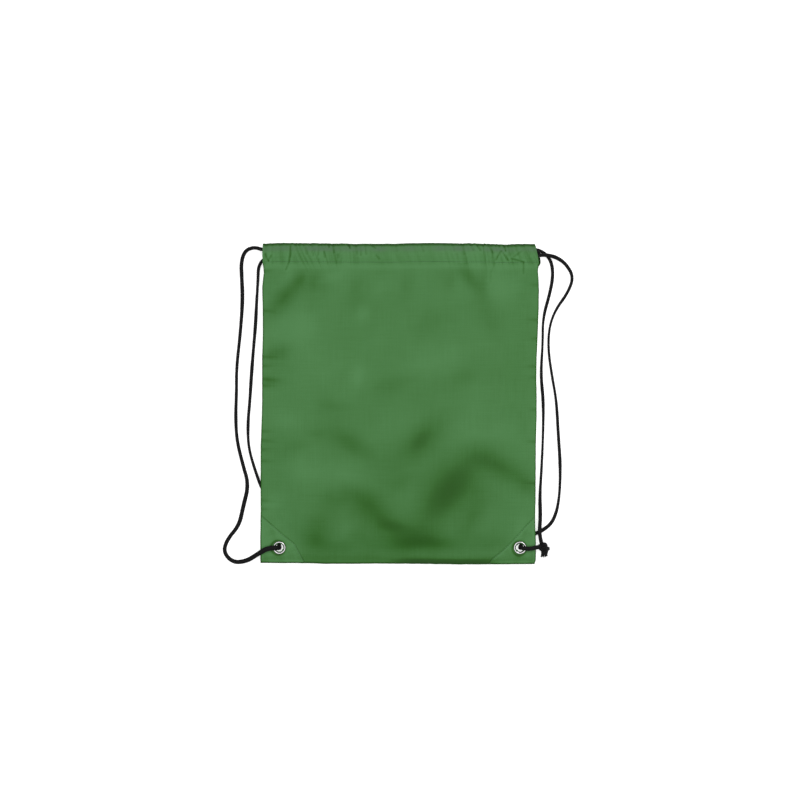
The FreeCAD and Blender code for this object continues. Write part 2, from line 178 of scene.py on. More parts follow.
class CordSettings(bpy.types.PropertyGroup):
    """Braided cords, their knots and the eyelets."""

    width: length("Width", "Width of the braid where it lies flat", 0.0050)
    section: length("Section", "Width times thickness of the braid, as the side of a square", 0.0043)
    ring_step: length("Ring step", "Distance from one ring of the mesh to the next", 0.0005)
    strand_pitch: length("Strand pitch", "Distance along the cord between crossing strands", 0.0024)
    relief: length("Strand relief", "How far a strand stands out of the braid", 0.00022)
    yarn: colour("Cord black", "Polyester yarn of the cord", (0.0032, 0.0032, 0.0034))
    # Cord grey is a painted sheen on the strands' crowns.
    sheen: colour("Cord grey", "Crowns of the strands", (0.011, 0.011, 0.012))
    metal: colour("Eyelet metal", "Nickel plating of the eyelets", (0.36, 0.36, 0.36))


class StageSettings(bpy.types.PropertyGroup):
    """Floor, lights and camera."""

    view_width: length("View width", "Width of floor that the camera sees", 1.0533)
    camera_height: length("Camera height", "From the bag up to the camera", 4.0)
    overhead_power: bpy.props.FloatProperty(
        name="Overhead light", description="Power of the broad light above", default=215.0,
        min=0.0, unit="POWER",
    )
    key_power: bpy.props.FloatProperty(
        name="Key light", description="Power of the smaller light to one side", default=24.0,
        min=0.0, unit="POWER",
    )
    sky: bpy.props.FloatProperty(
        name="Surround", description="Brightness of the surroundings", default=0.22,
        min=0.0, max=2.0, subtype="FACTOR",
    )


# ---------------------------------------------------------------------------
# Formulas
# ---------------------------------------------------------------------------


def ease(t):
    """Rises smoothly from 0 to 1 as t goes from 0 to 1: t squared times (3 - 2 t)."""
    t = np.clip(t, 0.0, 1.0)
    return t * t * (3.0 - 2.0 * t)


def band(distance, width, power=2):
    """A band round a line: exp(-(distance / width)^power)."""
    return np.exp(-((distance / width) ** power))


def least(softness, *distances):
    """The least of several distances with its corners rounded: -k log(sum of exp(-d / k))."""
    return -softness * np.log(sum(np.exp(-d / softness) for d in distances))


def ripple(x, pitch, seed):
    """Seeded smooth noise from -1 to 1 along one axis: random heights every pitch, eased between."""
    heights = np.random.default_rng(seed).uniform(-1.0, 1.0, 4096)
    step = x / pitch + 1000.0
    cell = np.floor(step).astype(int)
    return heights[cell] + (heights[cell + 1] - heights[cell]) * ease(step - cell)


def nearest(x, y, points):
    """Distance in plan from each x, y to a chain of points, and how far along the chain it is."""
    best = np.full(np.shape(x), 1.0)
    share = np.zeros(np.shape(x))
    runs = len(points) - 1
    for i in range(runs):
        ax, ay = points[i]
        dx, dy = points[i + 1][0] - ax, points[i + 1][1] - ay
        t = np.clip(((x - ax) * dx + (y - ay) * dy) / (dx * dx + dy * dy), 0.0, 1.0)
        gap = np.hypot(x - ax - t * dx, y - ay - t * dy)
        share = np.where(gap < best, (i + t) / runs, share)
        best = np.minimum(gap, best)
    return best, share


# Broad soft folds: centre x, y, half length, half width, turn in degrees from +X, and strength, which scales
# the height and the painted shade (painted light where below 0).
SOFT_FOLDS = [
    (-0.153, 0.138, 0.034, 0.012, 48, 1.0), (-0.165, 0.066, 0.020, 0.010, 24, 0.55),
    (-0.170, 0.030, 0.012, 0.007, 4, 0.55), (-0.089, -0.003, 0.018, 0.009, -12, 0.35),
    (-0.007, 0.026, 0.028, 0.012, 14, 0.35), (0.082, 0.034, 0.018, 0.010, 8, 0.3),
    (-0.110, -0.040, 0.016, 0.009, 0, 0.3), (-0.061, -0.054, 0.030, 0.014, -30, 0.75),
    (0.029, -0.046, 0.034, 0.018, 44, 0.95), (0.064, -0.114, 0.072, 0.028, 52, 1.25),
    (0.138, -0.085, 0.046, 0.016, -28, 0.85), (0.170, -0.110, 0.016, 0.010, -60, 0.45),
    (-0.038, -0.136, 0.042, 0.018, -40, 0.8), (-0.110, -0.172, 0.032, 0.018, 75, 0.75),
    (-0.086, -0.190, 0.030, 0.013, -12, 0.45),
    (-0.088, -0.124, 0.018, 0.012, -20, 0.35), (0.090, 0.168, 0.022, 0.010, -55, 0.75),
    (-0.108, 0.154, 0.020, 0.014, 10, 0.3), (-0.055, 0.135, 0.022, 0.014, 40, 0.3),
    (0.040, 0.105, 0.034, 0.018, 35, 0.3), (0.120, 0.110, 0.030, 0.018, -60, 0.35),
    (0.010, -0.185, 0.040, 0.014, 5, 0.6), (0.120, -0.185, 0.030, 0.012, 8, 0.3),
    (-0.055, 0.037, 0.014, 0.009, 80, -0.5), (-0.049, 0.118, 0.014, 0.009, 80, -0.45),
    (-0.137, 0.096, 0.028, 0.018, 30, -0.45), (0.112, -0.040, 0.045, 0.018, 10, -0.4),
    (-0.120, -0.090, 0.040, 0.018, -10, -0.4), (0.160, -0.165, 0.020, 0.012, 60, -0.35),
    (0.128, 0.150, 0.022, 0.016, -70, -0.35), (-0.150, -0.020, 0.020, 0.014, 10, -0.4),
    (0.060, 0.060, 0.050, 0.018, 20, -0.25), (-0.060, -0.100, 0.030, 0.014, -20, -0.35),
    (-0.131, 0.163, 0.010, 0.007, 60, 0.5), (-0.113, 0.162, 0.012, 0.007, 70, 0.4),
    (-0.058, 0.154, 0.014, 0.008, 75, 0.4), (-0.150, 0.165, 0.016, 0.008, 55, -0.4),
    (-0.085, 0.168, 0.016, 0.008, 20, -0.35), (-0.028, 0.150, 0.020, 0.010, 50, -0.3),
    (0.010, 0.155, 0.020, 0.010, 70, 0.3), (0.066, 0.160, 0.016, 0.009, 80, 0.35),
    (0.110, 0.160, 0.024, 0.007, 85, 0.45), (0.150, 0.160, 0.018, 0.012, 80, -0.3),
    (0.000, -0.105, 0.018, 0.010, 30, 0.35), (0.095, -0.150, 0.026, 0.012, 60, 0.5),
    (-0.135, -0.055, 0.018, 0.010, 15, 0.3), (-0.165, -0.130, 0.016, 0.010, 40, -0.45),
    (0.165, -0.030, 0.014, 0.010, 80, 0.25), (-0.010, -0.160, 0.024, 0.010, -10, 0.5),
    (0.055, -0.185, 0.030, 0.010, -8, 0.45), (-0.070, -0.165, 0.020, 0.010, 30, -0.3),
    (0.010, -0.085, 0.070, 0.040, 35, 0.42), (0.105, -0.120, 0.050, 0.035, 20, 0.30),
    (0.020, -0.175, 0.120, 0.022, 0, 0.38), (-0.075, -0.130, 0.040, 0.030, -30, 0.20),
]

# Sharp creases in plan: their points, and depth as a share of the crease depth, which also scales their
# painted shade.
CREASES = [
    ([(-0.1438, 0.2052), (-0.1438, 0.1955), (-0.1464, 0.1845), (-0.1503, 0.1760)], 1.0),
    ([(-0.1772, 0.1966), (-0.1752, 0.1905), (-0.1735, 0.1872)], 0.8),
    ([(-0.1694, 0.1940), (-0.1735, 0.1872)], 0.7),
    ([(0.1170, 0.2068), (0.1228, 0.1978)], 0.6),
    ([(0.1378, 0.2080), (0.1392, 0.2010)], 1.0),
    ([(0.1330, 0.2010), (0.1258, 0.1888)], 0.7),
    ([(0.1345, 0.2010), (0.1417, 0.1888)], 0.9),
    ([(0.1019, 0.2070), (0.1062, 0.2014)], 0.7),
    ([(0.1617, 0.1860), (0.1617, 0.1715)], 0.75),
    ([(0.1250, 0.1850), (0.1195, 0.1720), (0.1190, 0.1600)], 0.35),
    ([(0.1468, 0.1906), (0.1609, 0.1862)], 0.6),
    ([(0.1600, 0.2000), (0.1492, 0.1930)], 0.35),
    ([(-0.1065, 0.2070), (-0.1070, 0.1950)], 0.7),
    ([(-0.0935, 0.2080), (-0.0928, 0.2045)], 0.8),
    ([(-0.0678, 0.2085), (-0.0650, 0.2040)], 1.1),
    ([(-0.1155, 0.2000), (-0.1135, 0.1945)], 0.5),
    ([(-0.0990, 0.1990), (-0.0985, 0.1915)], 0.6),
    ([(-0.0810, 0.1960), (-0.0808, 0.1920)], 0.5),
    ([(-0.0575, 0.2070), (-0.0560, 0.1970)], 0.45),
    ([(-0.0520, 0.2050), (-0.0512, 0.1950)], 0.45),
    ([(-0.0455, 0.2060), (-0.0440, 0.1960)], 0.5),
    ([(-0.0365, 0.2070), (-0.0320, 0.2040)], 0.6),
    ([(-0.0310, 0.1950), (-0.0270, 0.1900)], 0.5),
    ([(-0.0870, 0.2060), (-0.0865, 0.1980)], 0.4),
    ([(-0.1230, 0.2040), (-0.1222, 0.1960)], 0.4),
    ([(0.0690, 0.2075), (0.0715, 0.2000)], 0.5),
    ([(0.0930, 0.2080), (0.0965, 0.2010)], 0.6),
    ([(0.0830, 0.2050), (0.0845, 0.1960)], 0.4),
    ([(0.0290, 0.2060), (0.0310, 0.1990)], 0.35),
    ([(-0.0050, 0.2070), (-0.0035, 0.2000)], 0.3),
    ([(0.1690, 0.2040), (0.1720, 0.1960)], 0.35),
]

# Short tucks that the side seams pull into the cloth: side, y, and length.
EDGE_TUCKS = [
    (-1, 0.1740, 0.012), (-1, 0.1228, 0.014), (-1, 0.0620, 0.018), (-1, 0.0500, 0.012),
    (-1, 0.0330, 0.020), (-1, 0.0240, 0.014), (-1, -0.0360, 0.012), (-1, -0.0480, 0.014),
    (-1, -0.0610, 0.010), (-1, -0.0750, 0.014), (-1, -0.1270, 0.016), (-1, -0.1390, 0.010),
    (1, 0.1560, 0.010), (1, 0.1100, 0.012), (1, 0.0490, 0.012), (1, 0.0350, 0.010),
    (1, -0.0500, 0.012), (1, -0.1050, 0.010), (1, 0.0860, 0.008), (1, -0.0080, 0.008),
]


def soft_folds(x, y):
    """Height of the broad folds, and the shade painted on each place, which is painted light where a fold's
    strength is below 0.

    Each fold is a (s / w) exp(-(s / w)^2 - (t / l)^2) with s across it and t along it, so that its
    middle slopes one way and both its flanks slope back.
    """
    height, shade = np.zeros(np.shape(x)), np.zeros(np.shape(x))
    for cx, cy, long_half, wide_half, turn, strength in SOFT_FOLDS:
        along = np.array([math.cos(math.radians(turn)), math.sin(math.radians(turn))])
        t = ((x - cx) * along[0] + (y - cy) * along[1]) / long_half
        s = (-(x - cx) * along[1] + (y - cy) * along[0]) / wide_half
        fall = np.exp(-s * s - t * t)
        height += 0.12 * strength * min(wide_half, 0.020) * s * fall
        shade += strength * fall
    return height, shade


# How far the bag reaches from its middle line at each height: y and reach.
SIDE_LINES = {
    -1: [
        (-0.210, 0.1836), (-0.175, 0.1836), (-0.162, 0.1834), (-0.145, 0.1831), (-0.070, 0.1831),
        (-0.050, 0.1829), (-0.034, 0.1822), (-0.018, 0.1817), (-0.003, 0.1812), (0.030, 0.1812),
        (0.060, 0.1812), (0.090, 0.1803), (0.123, 0.1803), (0.140, 0.1807), (0.154, 0.1811),
        (0.165, 0.1798), (0.172, 0.1790), (0.180, 0.1798), (0.195, 0.1806), (0.210, 0.1799),
    ],
    1: [
        (-0.210, 0.1792), (-0.190, 0.1795), (-0.176, 0.1793), (-0.160, 0.1784), (-0.145, 0.1784),
        (-0.130, 0.1790), (-0.060, 0.1793), (-0.035, 0.1798), (-0.018, 0.1803), (0.010, 0.1804),
        (0.030, 0.1800), (0.060, 0.1804), (0.090, 0.1817), (0.120, 0.1829), (0.150, 0.1835),
        (0.163, 0.1830), (0.174, 0.1822), (0.184, 0.1830), (0.193, 0.1818), (0.200, 0.1804),
        (0.206, 0.1790), (0.210, 0.1776),
    ],
}
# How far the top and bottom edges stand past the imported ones: x and distance along +Y.
END_LINES = {
    1: [
        (-0.180, 0.0008), (-0.160, 0.0015), (-0.120, 0.0013), (-0.085, 0.0010), (-0.065, 0.0005),
        (-0.004, 0.0006), (0.012, 0.0012), (0.045, 0.0016), (0.090, 0.0010), (0.110, 0.0008),
        (0.126, 0.0001), (0.138, -0.0006), (0.152, 0.0002), (0.180, 0.0002),
    ],
    -1: [
        (-0.180, 0.0003), (-0.135, 0.0002), (-0.110, -0.0002), (-0.097, -0.0009), (-0.050, -0.0006),
        (-0.020, -0.0005), (0.030, -0.0009), (0.080, -0.0016), (0.180, -0.0012),
    ],
}


def table(values, at):
    """A table of places and values read at other places, straight between its rows."""
    places, read = np.array(values).T
    return np.interp(at, places, read)


def side_line(y, side):
    """How far the outline is from the middle line, with a faint unevenness from the sewing."""
    return table(SIDE_LINES[side], y) + 0.00010 * ripple(y, 0.007, 5 + side)


def end_line(x, end):
    """How far the outline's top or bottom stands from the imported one."""
    return table(END_LINES[end], x) + 0.00015 * ripple(x, 0.008, 11 + end)


def outline(x, y):
    """Moves nominal places out to the real outline, by a share that grows towards each edge."""
    across = np.abs(x) / HALF_WIDTH
    along = np.clip((y - BOTTOM) / (TOP - BOTTOM), 0.0, 1.0)
    reach = np.where(x < 0, side_line(y, -1), side_line(y, 1))
    moved_x = x + np.sign(x) * (reach - HALF_WIDTH) * across ** 4
    moved_y = y + end_line(x, 1) * along ** 8 + end_line(x, -1) * (1.0 - along) ** 8
    near_corner = ease((across - 0.985) / 0.015) * ease((0.006 - (y - BOTTOM)) / 0.006)
    rounding = np.where(x > 0, 0.0014, 0.0002) * near_corner
    return moved_x - np.sign(x) * rounding, moved_y


FRONT_EDGE = PATCH_TOP - 0.00045  # the front cloth's sewn edges stand this high
FRONT_EDGE_AT_MOUTH = 0.0125
FRONT_SLOPE = 0.050         # width over which it rises from its edges to its middle
TAUT_HEIGHT = 0.0168        # where the casing pulls the front cloth taut
MOUTH_TRANSITION = 0.062    # length over which the side edges change height at the mouth
BACK_SLOPE = 0.070          # width over which the back cloth falls to the floor
SEAM_LINE = (FRONT_EDGE + SEAM_UNDERSIDE) / 2.0
CORNER_SOFTNESS = 0.005
WALL_END = 0.006            # the sewn edge opens over this length below the casing
EDGE_ROLL = 0.0018
KNOT_COVER = 0.0095         # the back cloth's rise over the knot beneath it
KNOT_COVER_FLAT = 0.004
KNOT_COVER_SLOPE = 0.026
LAYERS_APART = 0.0010       # least height between the two cloths


def near_mouth(y):
    """0 along the sides, rising to 1 at the casing's stitching."""
    return ease((y - CASING_LINE + MOUTH_TRANSITION) / MOUTH_TRANSITION)


def edge_gaps(x, y):
    """Distances inwards from the bag's side, from its bottom and from the slanting patch edge."""
    side, bottom = HALF_WIDTH - np.abs(x), y - BOTTOM
    return side, bottom, (side + bottom - PATCH_LEG) / math.sqrt(2.0)


def front_level(x, y):
    """Top of the front cloth without folds: from its sewn edges up to a level middle, and on up
    to the casing, which pulls it taut."""
    side, bottom, corner = edge_gaps(x, y)
    inwards = least(CORNER_SOFTNESS, side - 0.003, bottom - 0.003, corner)
    edge = FRONT_EDGE + (FRONT_EDGE_AT_MOUTH - FRONT_EDGE) * near_mouth(y)
    level = edge + (PLATEAU - edge) * ease(inwards / FRONT_SLOPE)
    level = level + 0.8 * (TAUT_HEIGHT - level) * band(CASING_LINE - y, 0.022)
    return -least(0.0006, -level, -(back_level(x, y) + LAYERS_APART))


def back_level(x, y):
    """Underside of the back cloth: on the floor in the middle, raised at its edges and the knot."""
    side, bottom, corner = edge_gaps(x, y)
    inwards = least(
        CORNER_SOFTNESS, side - SEAM_WIDTH, bottom - SEAM_WIDTH, (corner - 0.018) * 1.6,
    )
    edge = SEAM_UNDERSIDE + (SEAM_BASE_AT_MOUTH + 0.0003 - SEAM_UNDERSIDE) * near_mouth(y)
    from_knot = np.hypot(x - LEFT_KNOT[0], y - LEFT_KNOT[1])
    over_knot = KNOT_COVER * (1.0 - ease((from_knot - KNOT_COVER_FLAT) / KNOT_COVER_SLOPE))
    return np.maximum(0.0003 + (edge - 0.0003) * (1.0 - ease(inwards / BACK_SLOPE)), over_knot)


def rolled(level, x, y, bottom_roll):
    """Brings a sheet down to the seam line at its very edge, along a quarter of an ellipse."""
    side, bottom, _ = edge_gaps(x, y)
    wall = 1.0 - ease((y - CASING_LINE + WALL_END) / WALL_END)
    share_side = np.sqrt(1.0 - (1.0 - np.clip(side / EDGE_ROLL, 0.0, 1.0)) ** 2)
    share_bottom = np.sqrt(1.0 - (1.0 - np.clip(bottom / bottom_roll, 0.0, 1.0)) ** 2)
    share = 1.0 - (1.0 - share_side * share_bottom) * wall
    return SEAM_LINE + (level - SEAM_LINE) * share


def creases(x, y):
    """Sharp creases: a valley -exp(-(d / w)^2) with a low lip beside it, and the shade painted along each."""
    height, dark = np.zeros(np.shape(x)), np.zeros(np.shape(x))
    for points, depth in CREASES:
        gap, share = nearest(x, y, points)
        valley = band(gap, 0.0009) - 0.45 * band(gap - 0.0024, 0.0014)
        height -= depth * valley * (0.55 + 0.45 * np.sin(math.pi * share))
        dark += depth * (band(gap, 0.0010) - 0.25 * band(gap - 0.003, 0.0016))
    return height, dark


def edge_tucks(x, y):
    """Short tucks square to the side seams: narrow valleys that fade inwards, and their painted shade."""
    height, dark = np.zeros(np.shape(x)), np.zeros(np.shape(x))
    for side, at, reach in EDGE_TUCKS:
        inwards = HALF_WIDTH - side * x
        slant = at + 0.12 * inwards * math.sin(700.0 * at)
        across = (y - slant) / 0.0022
        fade = np.exp(-((inwards / reach) ** 2)) * ease(inwards / 0.002)
        height -= across * np.exp(-across * across) * fade
        dark += np.exp(-across * across) * fade
    return height, dark


def gathers(x, slip):
    """Gathers of the casing along x, leaning with slip: three ripples, strong in some stretches."""
    lean = x + slip * (0.25 + 0.35 * ripple(x, 0.060, 21))
    fine = ripple(lean, 0.0021, 22) + 0.7 * ripple(lean, 0.0036, 23) + 0.35 * ripple(lean, 0.0075, 24)
    gathered = 0.35 + 0.9 * band(x + 0.095, 0.034)
    gathered += 0.75 * band(x - 0.105, 0.036) + 0.4 * ripple(x, 0.045, 25)
    return fine * np.clip(gathered, 0.15, 1.3) / 1.6


# The casings' ring: its middle and half depth along Y, its squareness, and its heights by face.
RING_MIDDLE = (CASING_LINE + TOP) / 2.0
RING_HALF = (TOP - CASING_LINE) / 2.0
RING_POWER = 0.78
RING_UNIT = 0.010           # metres of row value for each radian round the ring
RING_TOP = {1: 0.0174, -1: 0.0062}
RING_BASE = {1: 0.0109, -1: 0.0003}
FLAP_NARROWING = (HALF_WIDTH - TUNNEL_REACH) / HALF_WIDTH
FLAP_END = 0.92 * math.pi   # where the turned-in flap stops, on round the ring past the top fold
CORDS_AT = (0.2022, 0.1946)  # y of the cords in the front casing, which show as low ridges
CORD_RIDGE = 0.00025
DARK_STRIP_OUT = 0.0034     # the back cloth's reach past the front one at the mouth's right end, where it is painted with deep shade


def casing_ring(y, angle, level, face, ruck, tight, cloth):
    """Height round the casing at an angle, on a rounded oblong from level back to level.

    The oblong is m + h sign(sin a) |sin a|^p.  Towards the stitching it joins the cloth's own level
    by a share (-cos a)^n.  Rucks, creases and the cords' ridges stand out of it.
    """
    sin, cos = np.sin(angle), np.cos(angle)
    middle = (RING_TOP[face] + RING_BASE[face]) / 2.0
    half = (RING_TOP[face] - RING_BASE[face]) / 2.0
    outer = face * np.sign(sin) * np.abs(sin) ** RING_POWER
    ends_at = level if face > 0 else level + cloth.thickness
    joins = np.maximum(-cos, 0.0) ** np.where(sin > 0.0, 3.0, 10.0)
    inner_wall = middle + half * outer + (ends_at - middle) * joins
    ring = np.where(sin > 0.0, (middle + half * outer) * (1.0 - joins) + ends_at * joins, inner_wall)
    raised = ruck * np.abs(sin) ** 0.6 + np.where(sin > 0.0, tight, 0.0)
    cords = CORD_RIDGE * sum(band(y - at, 0.0028) for at in CORDS_AT)
    raised += np.where(sin > 0.0, cords, 0.0) * face
    return ring + np.sign(sin) * face * raised * np.abs(sin) ** 0.3


def body_shade(x, y):
    """Painted shade along the rim, darker bands over the doubled cloth along the bottom, and a painted
    lighter strip below the casing.
    """
    side, bottom, _ = edge_gaps(x, y)
    rim = 2.0 * band(side, 0.0012) + 2.3 * band(bottom, 0.0017)
    hem = 0.55 * band(bottom - 0.006, 0.006)
    middle_right = ease((x + 0.03) / 0.06) * ease((0.16 - x) / 0.06)
    hem += 1.3 * band(bottom - 0.0035, 0.0032) * middle_right
    beside = -0.35 * band(CASING_LINE - 0.004 - y, 0.0035)
    return rim + hem + beside


def cloth_place(x, row, face, cloth):
    """Places on the front (face 1) or back (face -1) cloth, the shade painted on each and its painted sheen.

    Up to the casing's stitching, row is y and the height comes from the level formulas.  Past it,
    row goes round the casing: angle = pi - (row - line) / unit, from the stitching at pi over the
    outer wall to the top fold at 0 and back along the inner wall, on a rounded oblong.
    """
    angle = math.pi - np.maximum(row - CASING_LINE, 0.0) / RING_UNIT
    ringed = row > CASING_LINE
    cos = np.cos(angle)
    ring_y = RING_MIDDLE + RING_HALF * np.sign(cos) * np.abs(cos) ** RING_POWER
    y = np.where(ringed, ring_y, row)
    narrowing = np.where(angle < 0.0, FLAP_NARROWING * ease(-angle / 0.9), 0.0)
    x = x * (1.0 - narrowing)

    level = front_level(x, np.minimum(y, CASING_LINE)) if face > 0 else back_level(x, y)
    height, shade = soft_folds(x, y)
    inset = ease((HALF_WIDTH - np.abs(x)) / 0.014) * ease((y - BOTTOM) / 0.014)
    fold = cloth.fold * height * inset * ease((CASING_LINE + 0.004 - y) / 0.030)
    near_stitching = np.exp(-np.maximum(CASING_LINE - y, 0.0) / 0.007)
    ruck = cloth.pucker * gathers(x, y - RING_MIDDLE)
    if face > 0:
        body = rolled(level, x, y, 0.0030) + fold
        body += 0.55 * ruck * near_stitching * ease((CASING_LINE - y) / 0.004)
        tucks, tuck_shade = edge_tucks(x, y)
        body += 0.6 * cloth.crease * tucks
        tight, crease_shade = creases(x, y)
        tight = cloth.crease * tight
        shade = shade + 0.9 * crease_shade + 0.7 * tuck_shade
    else:
        body = rolled(level, x, y, 0.0024)
        tight = crease_shade = np.zeros(np.shape(body))
    body += tight

    ring = casing_ring(y, angle, level, face, ruck, tight, cloth)
    y = y + np.where(ringed, 0.7 * ruck * np.maximum(cos, 0.0) ** 3, 0.0)
    z = np.where(ringed, ring, body)
    # Painted shade: darker in the gathers' valleys, in the casing's creases and along the casing's top fold
    # (brim).
    valleys = np.clip(-1.9 * ruck / cloth.pucker - 0.1, -0.35, 1.2)
    crest = band(y - 0.2032, 0.0040)
    brim = 2.1 * band(TOP - y, 0.0037, 4)
    on_casing = -0.05 + 0.75 * valleys + 1.5 * crease_shade + brim
    on_body = shade + body_shade(x, y) + 0.5 * valleys * near_stitching
    # A painted sheen along the casing's crest and on its top fold.
    painted_sheen = np.where(ringed, crest * (0.75 + 0.5 * ripple(x, 0.013, 27)) + 0.4 * brim, 0.0)
    px, py = outline(x, y)
    if face < 0:
        # At the mouth's right end the back cloth stands out past the front one and is painted with deep
        # shade, for the shadow in the casing's open end.
        stands_out = band(y - 0.1905, 0.0085, 4) * ease((x - 0.168) / 0.010)
        px = px + DARK_STRIP_OUT * stands_out
        on_casing, on_body = on_casing + 2.6 * stands_out, on_body + 2.6 * stands_out
    return np.stack([px, py, z], -1), np.where(ringed, on_casing, on_body), np.clip(painted_sheen, 0.0, 1.0)


# ---------------------------------------------------------------------------
# Mesh building
# ---------------------------------------------------------------------------


def new_mesh(name, places, faces, smooth=True):
    """A mesh from an array of places and a list of faces."""
    mesh = bpy.data.meshes.new(name)
    mesh.from_pydata(np.asarray(places, float).reshape(-1, 3).tolist(), [], faces)
    mesh.validate()
    if smooth:
        mesh.polygons.foreach_set("use_smooth", np.ones(len(mesh.polygons), bool))
    mesh.update()
    return mesh


def grid_faces(rows, columns, wrap_rows=False, wrap_columns=False):
    """Quads over a grid of rows and columns, joined round where asked."""
    index = np.arange(rows * columns).reshape(rows, columns)
    if wrap_rows:
        index = np.vstack([index, index[:1]])
    if wrap_columns:
        index = np.hstack([index, index[:, :1]])
    quads = np.stack([index[:-1, :-1], index[:-1, 1:], index[1:, 1:], index[1:, :-1]], -1)
    return quads.reshape(-1, 4)


def sheet_mesh(name, places, across, along, looks, holes, radius, flip=False):
    """One side of a cloth grid, without the faces over the eyelets' holes.

    across and along are distances in the flat cloth, kept as the weave's UV map.  looks holds
    the painted shade and the painted sheen of each place.  The rim is marked sharp, so that the cut edge does
    not bend the surface's shading.
    """
    rows, columns = places.shape[:2]
    quads = grid_faces(rows, columns)
    flat = places.reshape(-1, 3)
    middles = flat[quads].mean(axis=1)
    keep = np.ones(len(quads), bool)
    for hole in holes:
        keep &= np.hypot(middles[:, 0] - hole[0], middles[:, 1] - hole[1]) > radius
    quads = quads[keep]
    used, quads = np.unique(quads, return_inverse=True)
    quads = quads.reshape(-1, 4)
    if flip:
        quads = quads[:, ::-1]
    mesh = new_mesh(name, flat[used], quads.tolist())
    uv = np.stack([across.reshape(-1)[used], along.reshape(-1)[used]], -1)
    loops = np.empty(len(mesh.loops), np.int32)
    mesh.loops.foreach_get("vertex_index", loops)
    mesh.uv_layers.new(name="weave").data.foreach_set("uv", uv[loops].astype(np.float32).ravel())
    for label, values in zip(("shade", "painted_sheen"), looks):
        attribute = mesh.attributes.new(label, "FLOAT", "POINT")
        attribute.data.foreach_set("value", values.reshape(-1)[used].astype(np.float32))
    loop_edges = np.empty(len(mesh.loops), np.int32)
    mesh.loops.foreach_get("edge_index", loop_edges)
    rim = np.bincount(loop_edges, minlength=len(mesh.edges)) == 1
    mesh.attributes.new("sharp_edge", "BOOLEAN", "EDGE").data.foreach_set("value", rim)
    return mesh


def spaced(start, stop, step):
    """Even values from start to stop, about a step apart, both ends included."""
    return np.linspace(start, stop, max(2, int(round(abs(stop - start) / step)) + 1))


def smooth_line(route, resolution=24):
    """Points of the smooth curve that a route's points steer."""
    curve = bpy.data.curves.new("route", "CURVE")
    curve.dimensions = "3D"
    curve.resolution_u = resolution
    spline = curve.splines.new("NURBS")
    spline.points.add(len(route) - 1)
    spline.points.foreach_set("co", np.array([(*p, 1.0) for p in route], np.float32).ravel())
    spline.order_u = 3
    spline.use_endpoint_u = True
    holder = bpy.data.objects.new("route", curve)
    bpy.context.collection.objects.link(holder)
    bpy.context.view_layer.update()
    read = bpy.data.meshes.new_from_object(holder)
    points = np.empty(len(read.vertices) * 3)
    read.vertices.foreach_get("co", points)
    bpy.data.objects.remove(holder)
    bpy.data.curves.remove(curve)
    bpy.data.meshes.remove(read)
    return points.reshape(-1, 3)


def even_rings(points, step, closed=False):
    """The same line at even distances, and the distance of each point along it."""
    if closed:
        points = np.vstack([points, points[:1]])
    gaps = np.linalg.norm(np.diff(points, axis=0), axis=1)
    keep = np.concatenate([[True], gaps > 1e-7])
    points, gaps = points[keep], gaps[gaps > 1e-7]
    along = np.concatenate([[0.0], np.cumsum(gaps)])
    even = spaced(0.0, along[-1], step)
    if closed:
        even = even[:-1]
    return np.stack([np.interp(even, along, points[:, k]) for k in range(3)], -1), even


def line_frames(points, closed=False):
    """Two directions square to a line at each point: one level, the other square to it.

    The level one is square to the line's heading in plan, and the heading is averaged over
    nearby points, so that it turns steadily where the line stands upright.
    """
    tangent = np.gradient(points, axis=0)
    if closed:
        tangent = (np.roll(points, -1, axis=0) - np.roll(points, 1, axis=0)) / 2.0
    tangent /= np.linalg.norm(tangent, axis=1)[:, None]
    heading = tangent[:, :2]
    window = 15
    kernel = np.hanning(2 * window + 3)[1:-1]
    kernel /= kernel.sum()
    mode = "wrap" if closed else "edge"
    padded = np.pad(heading, ((window, window), (0, 0)), mode=mode)
    smooth = np.stack([np.convolve(padded[:, k], kernel, "valid") for k in range(2)], -1)
    level = np.stack([-smooth[:, 1], smooth[:, 0], np.zeros(len(points))], -1)
    level -= (level * tangent).sum(1)[:, None] * tangent
    level /= np.linalg.norm(level, axis=1)[:, None]
    return level, np.cross(tangent, level)


STRANDS = 8
AROUND = 32


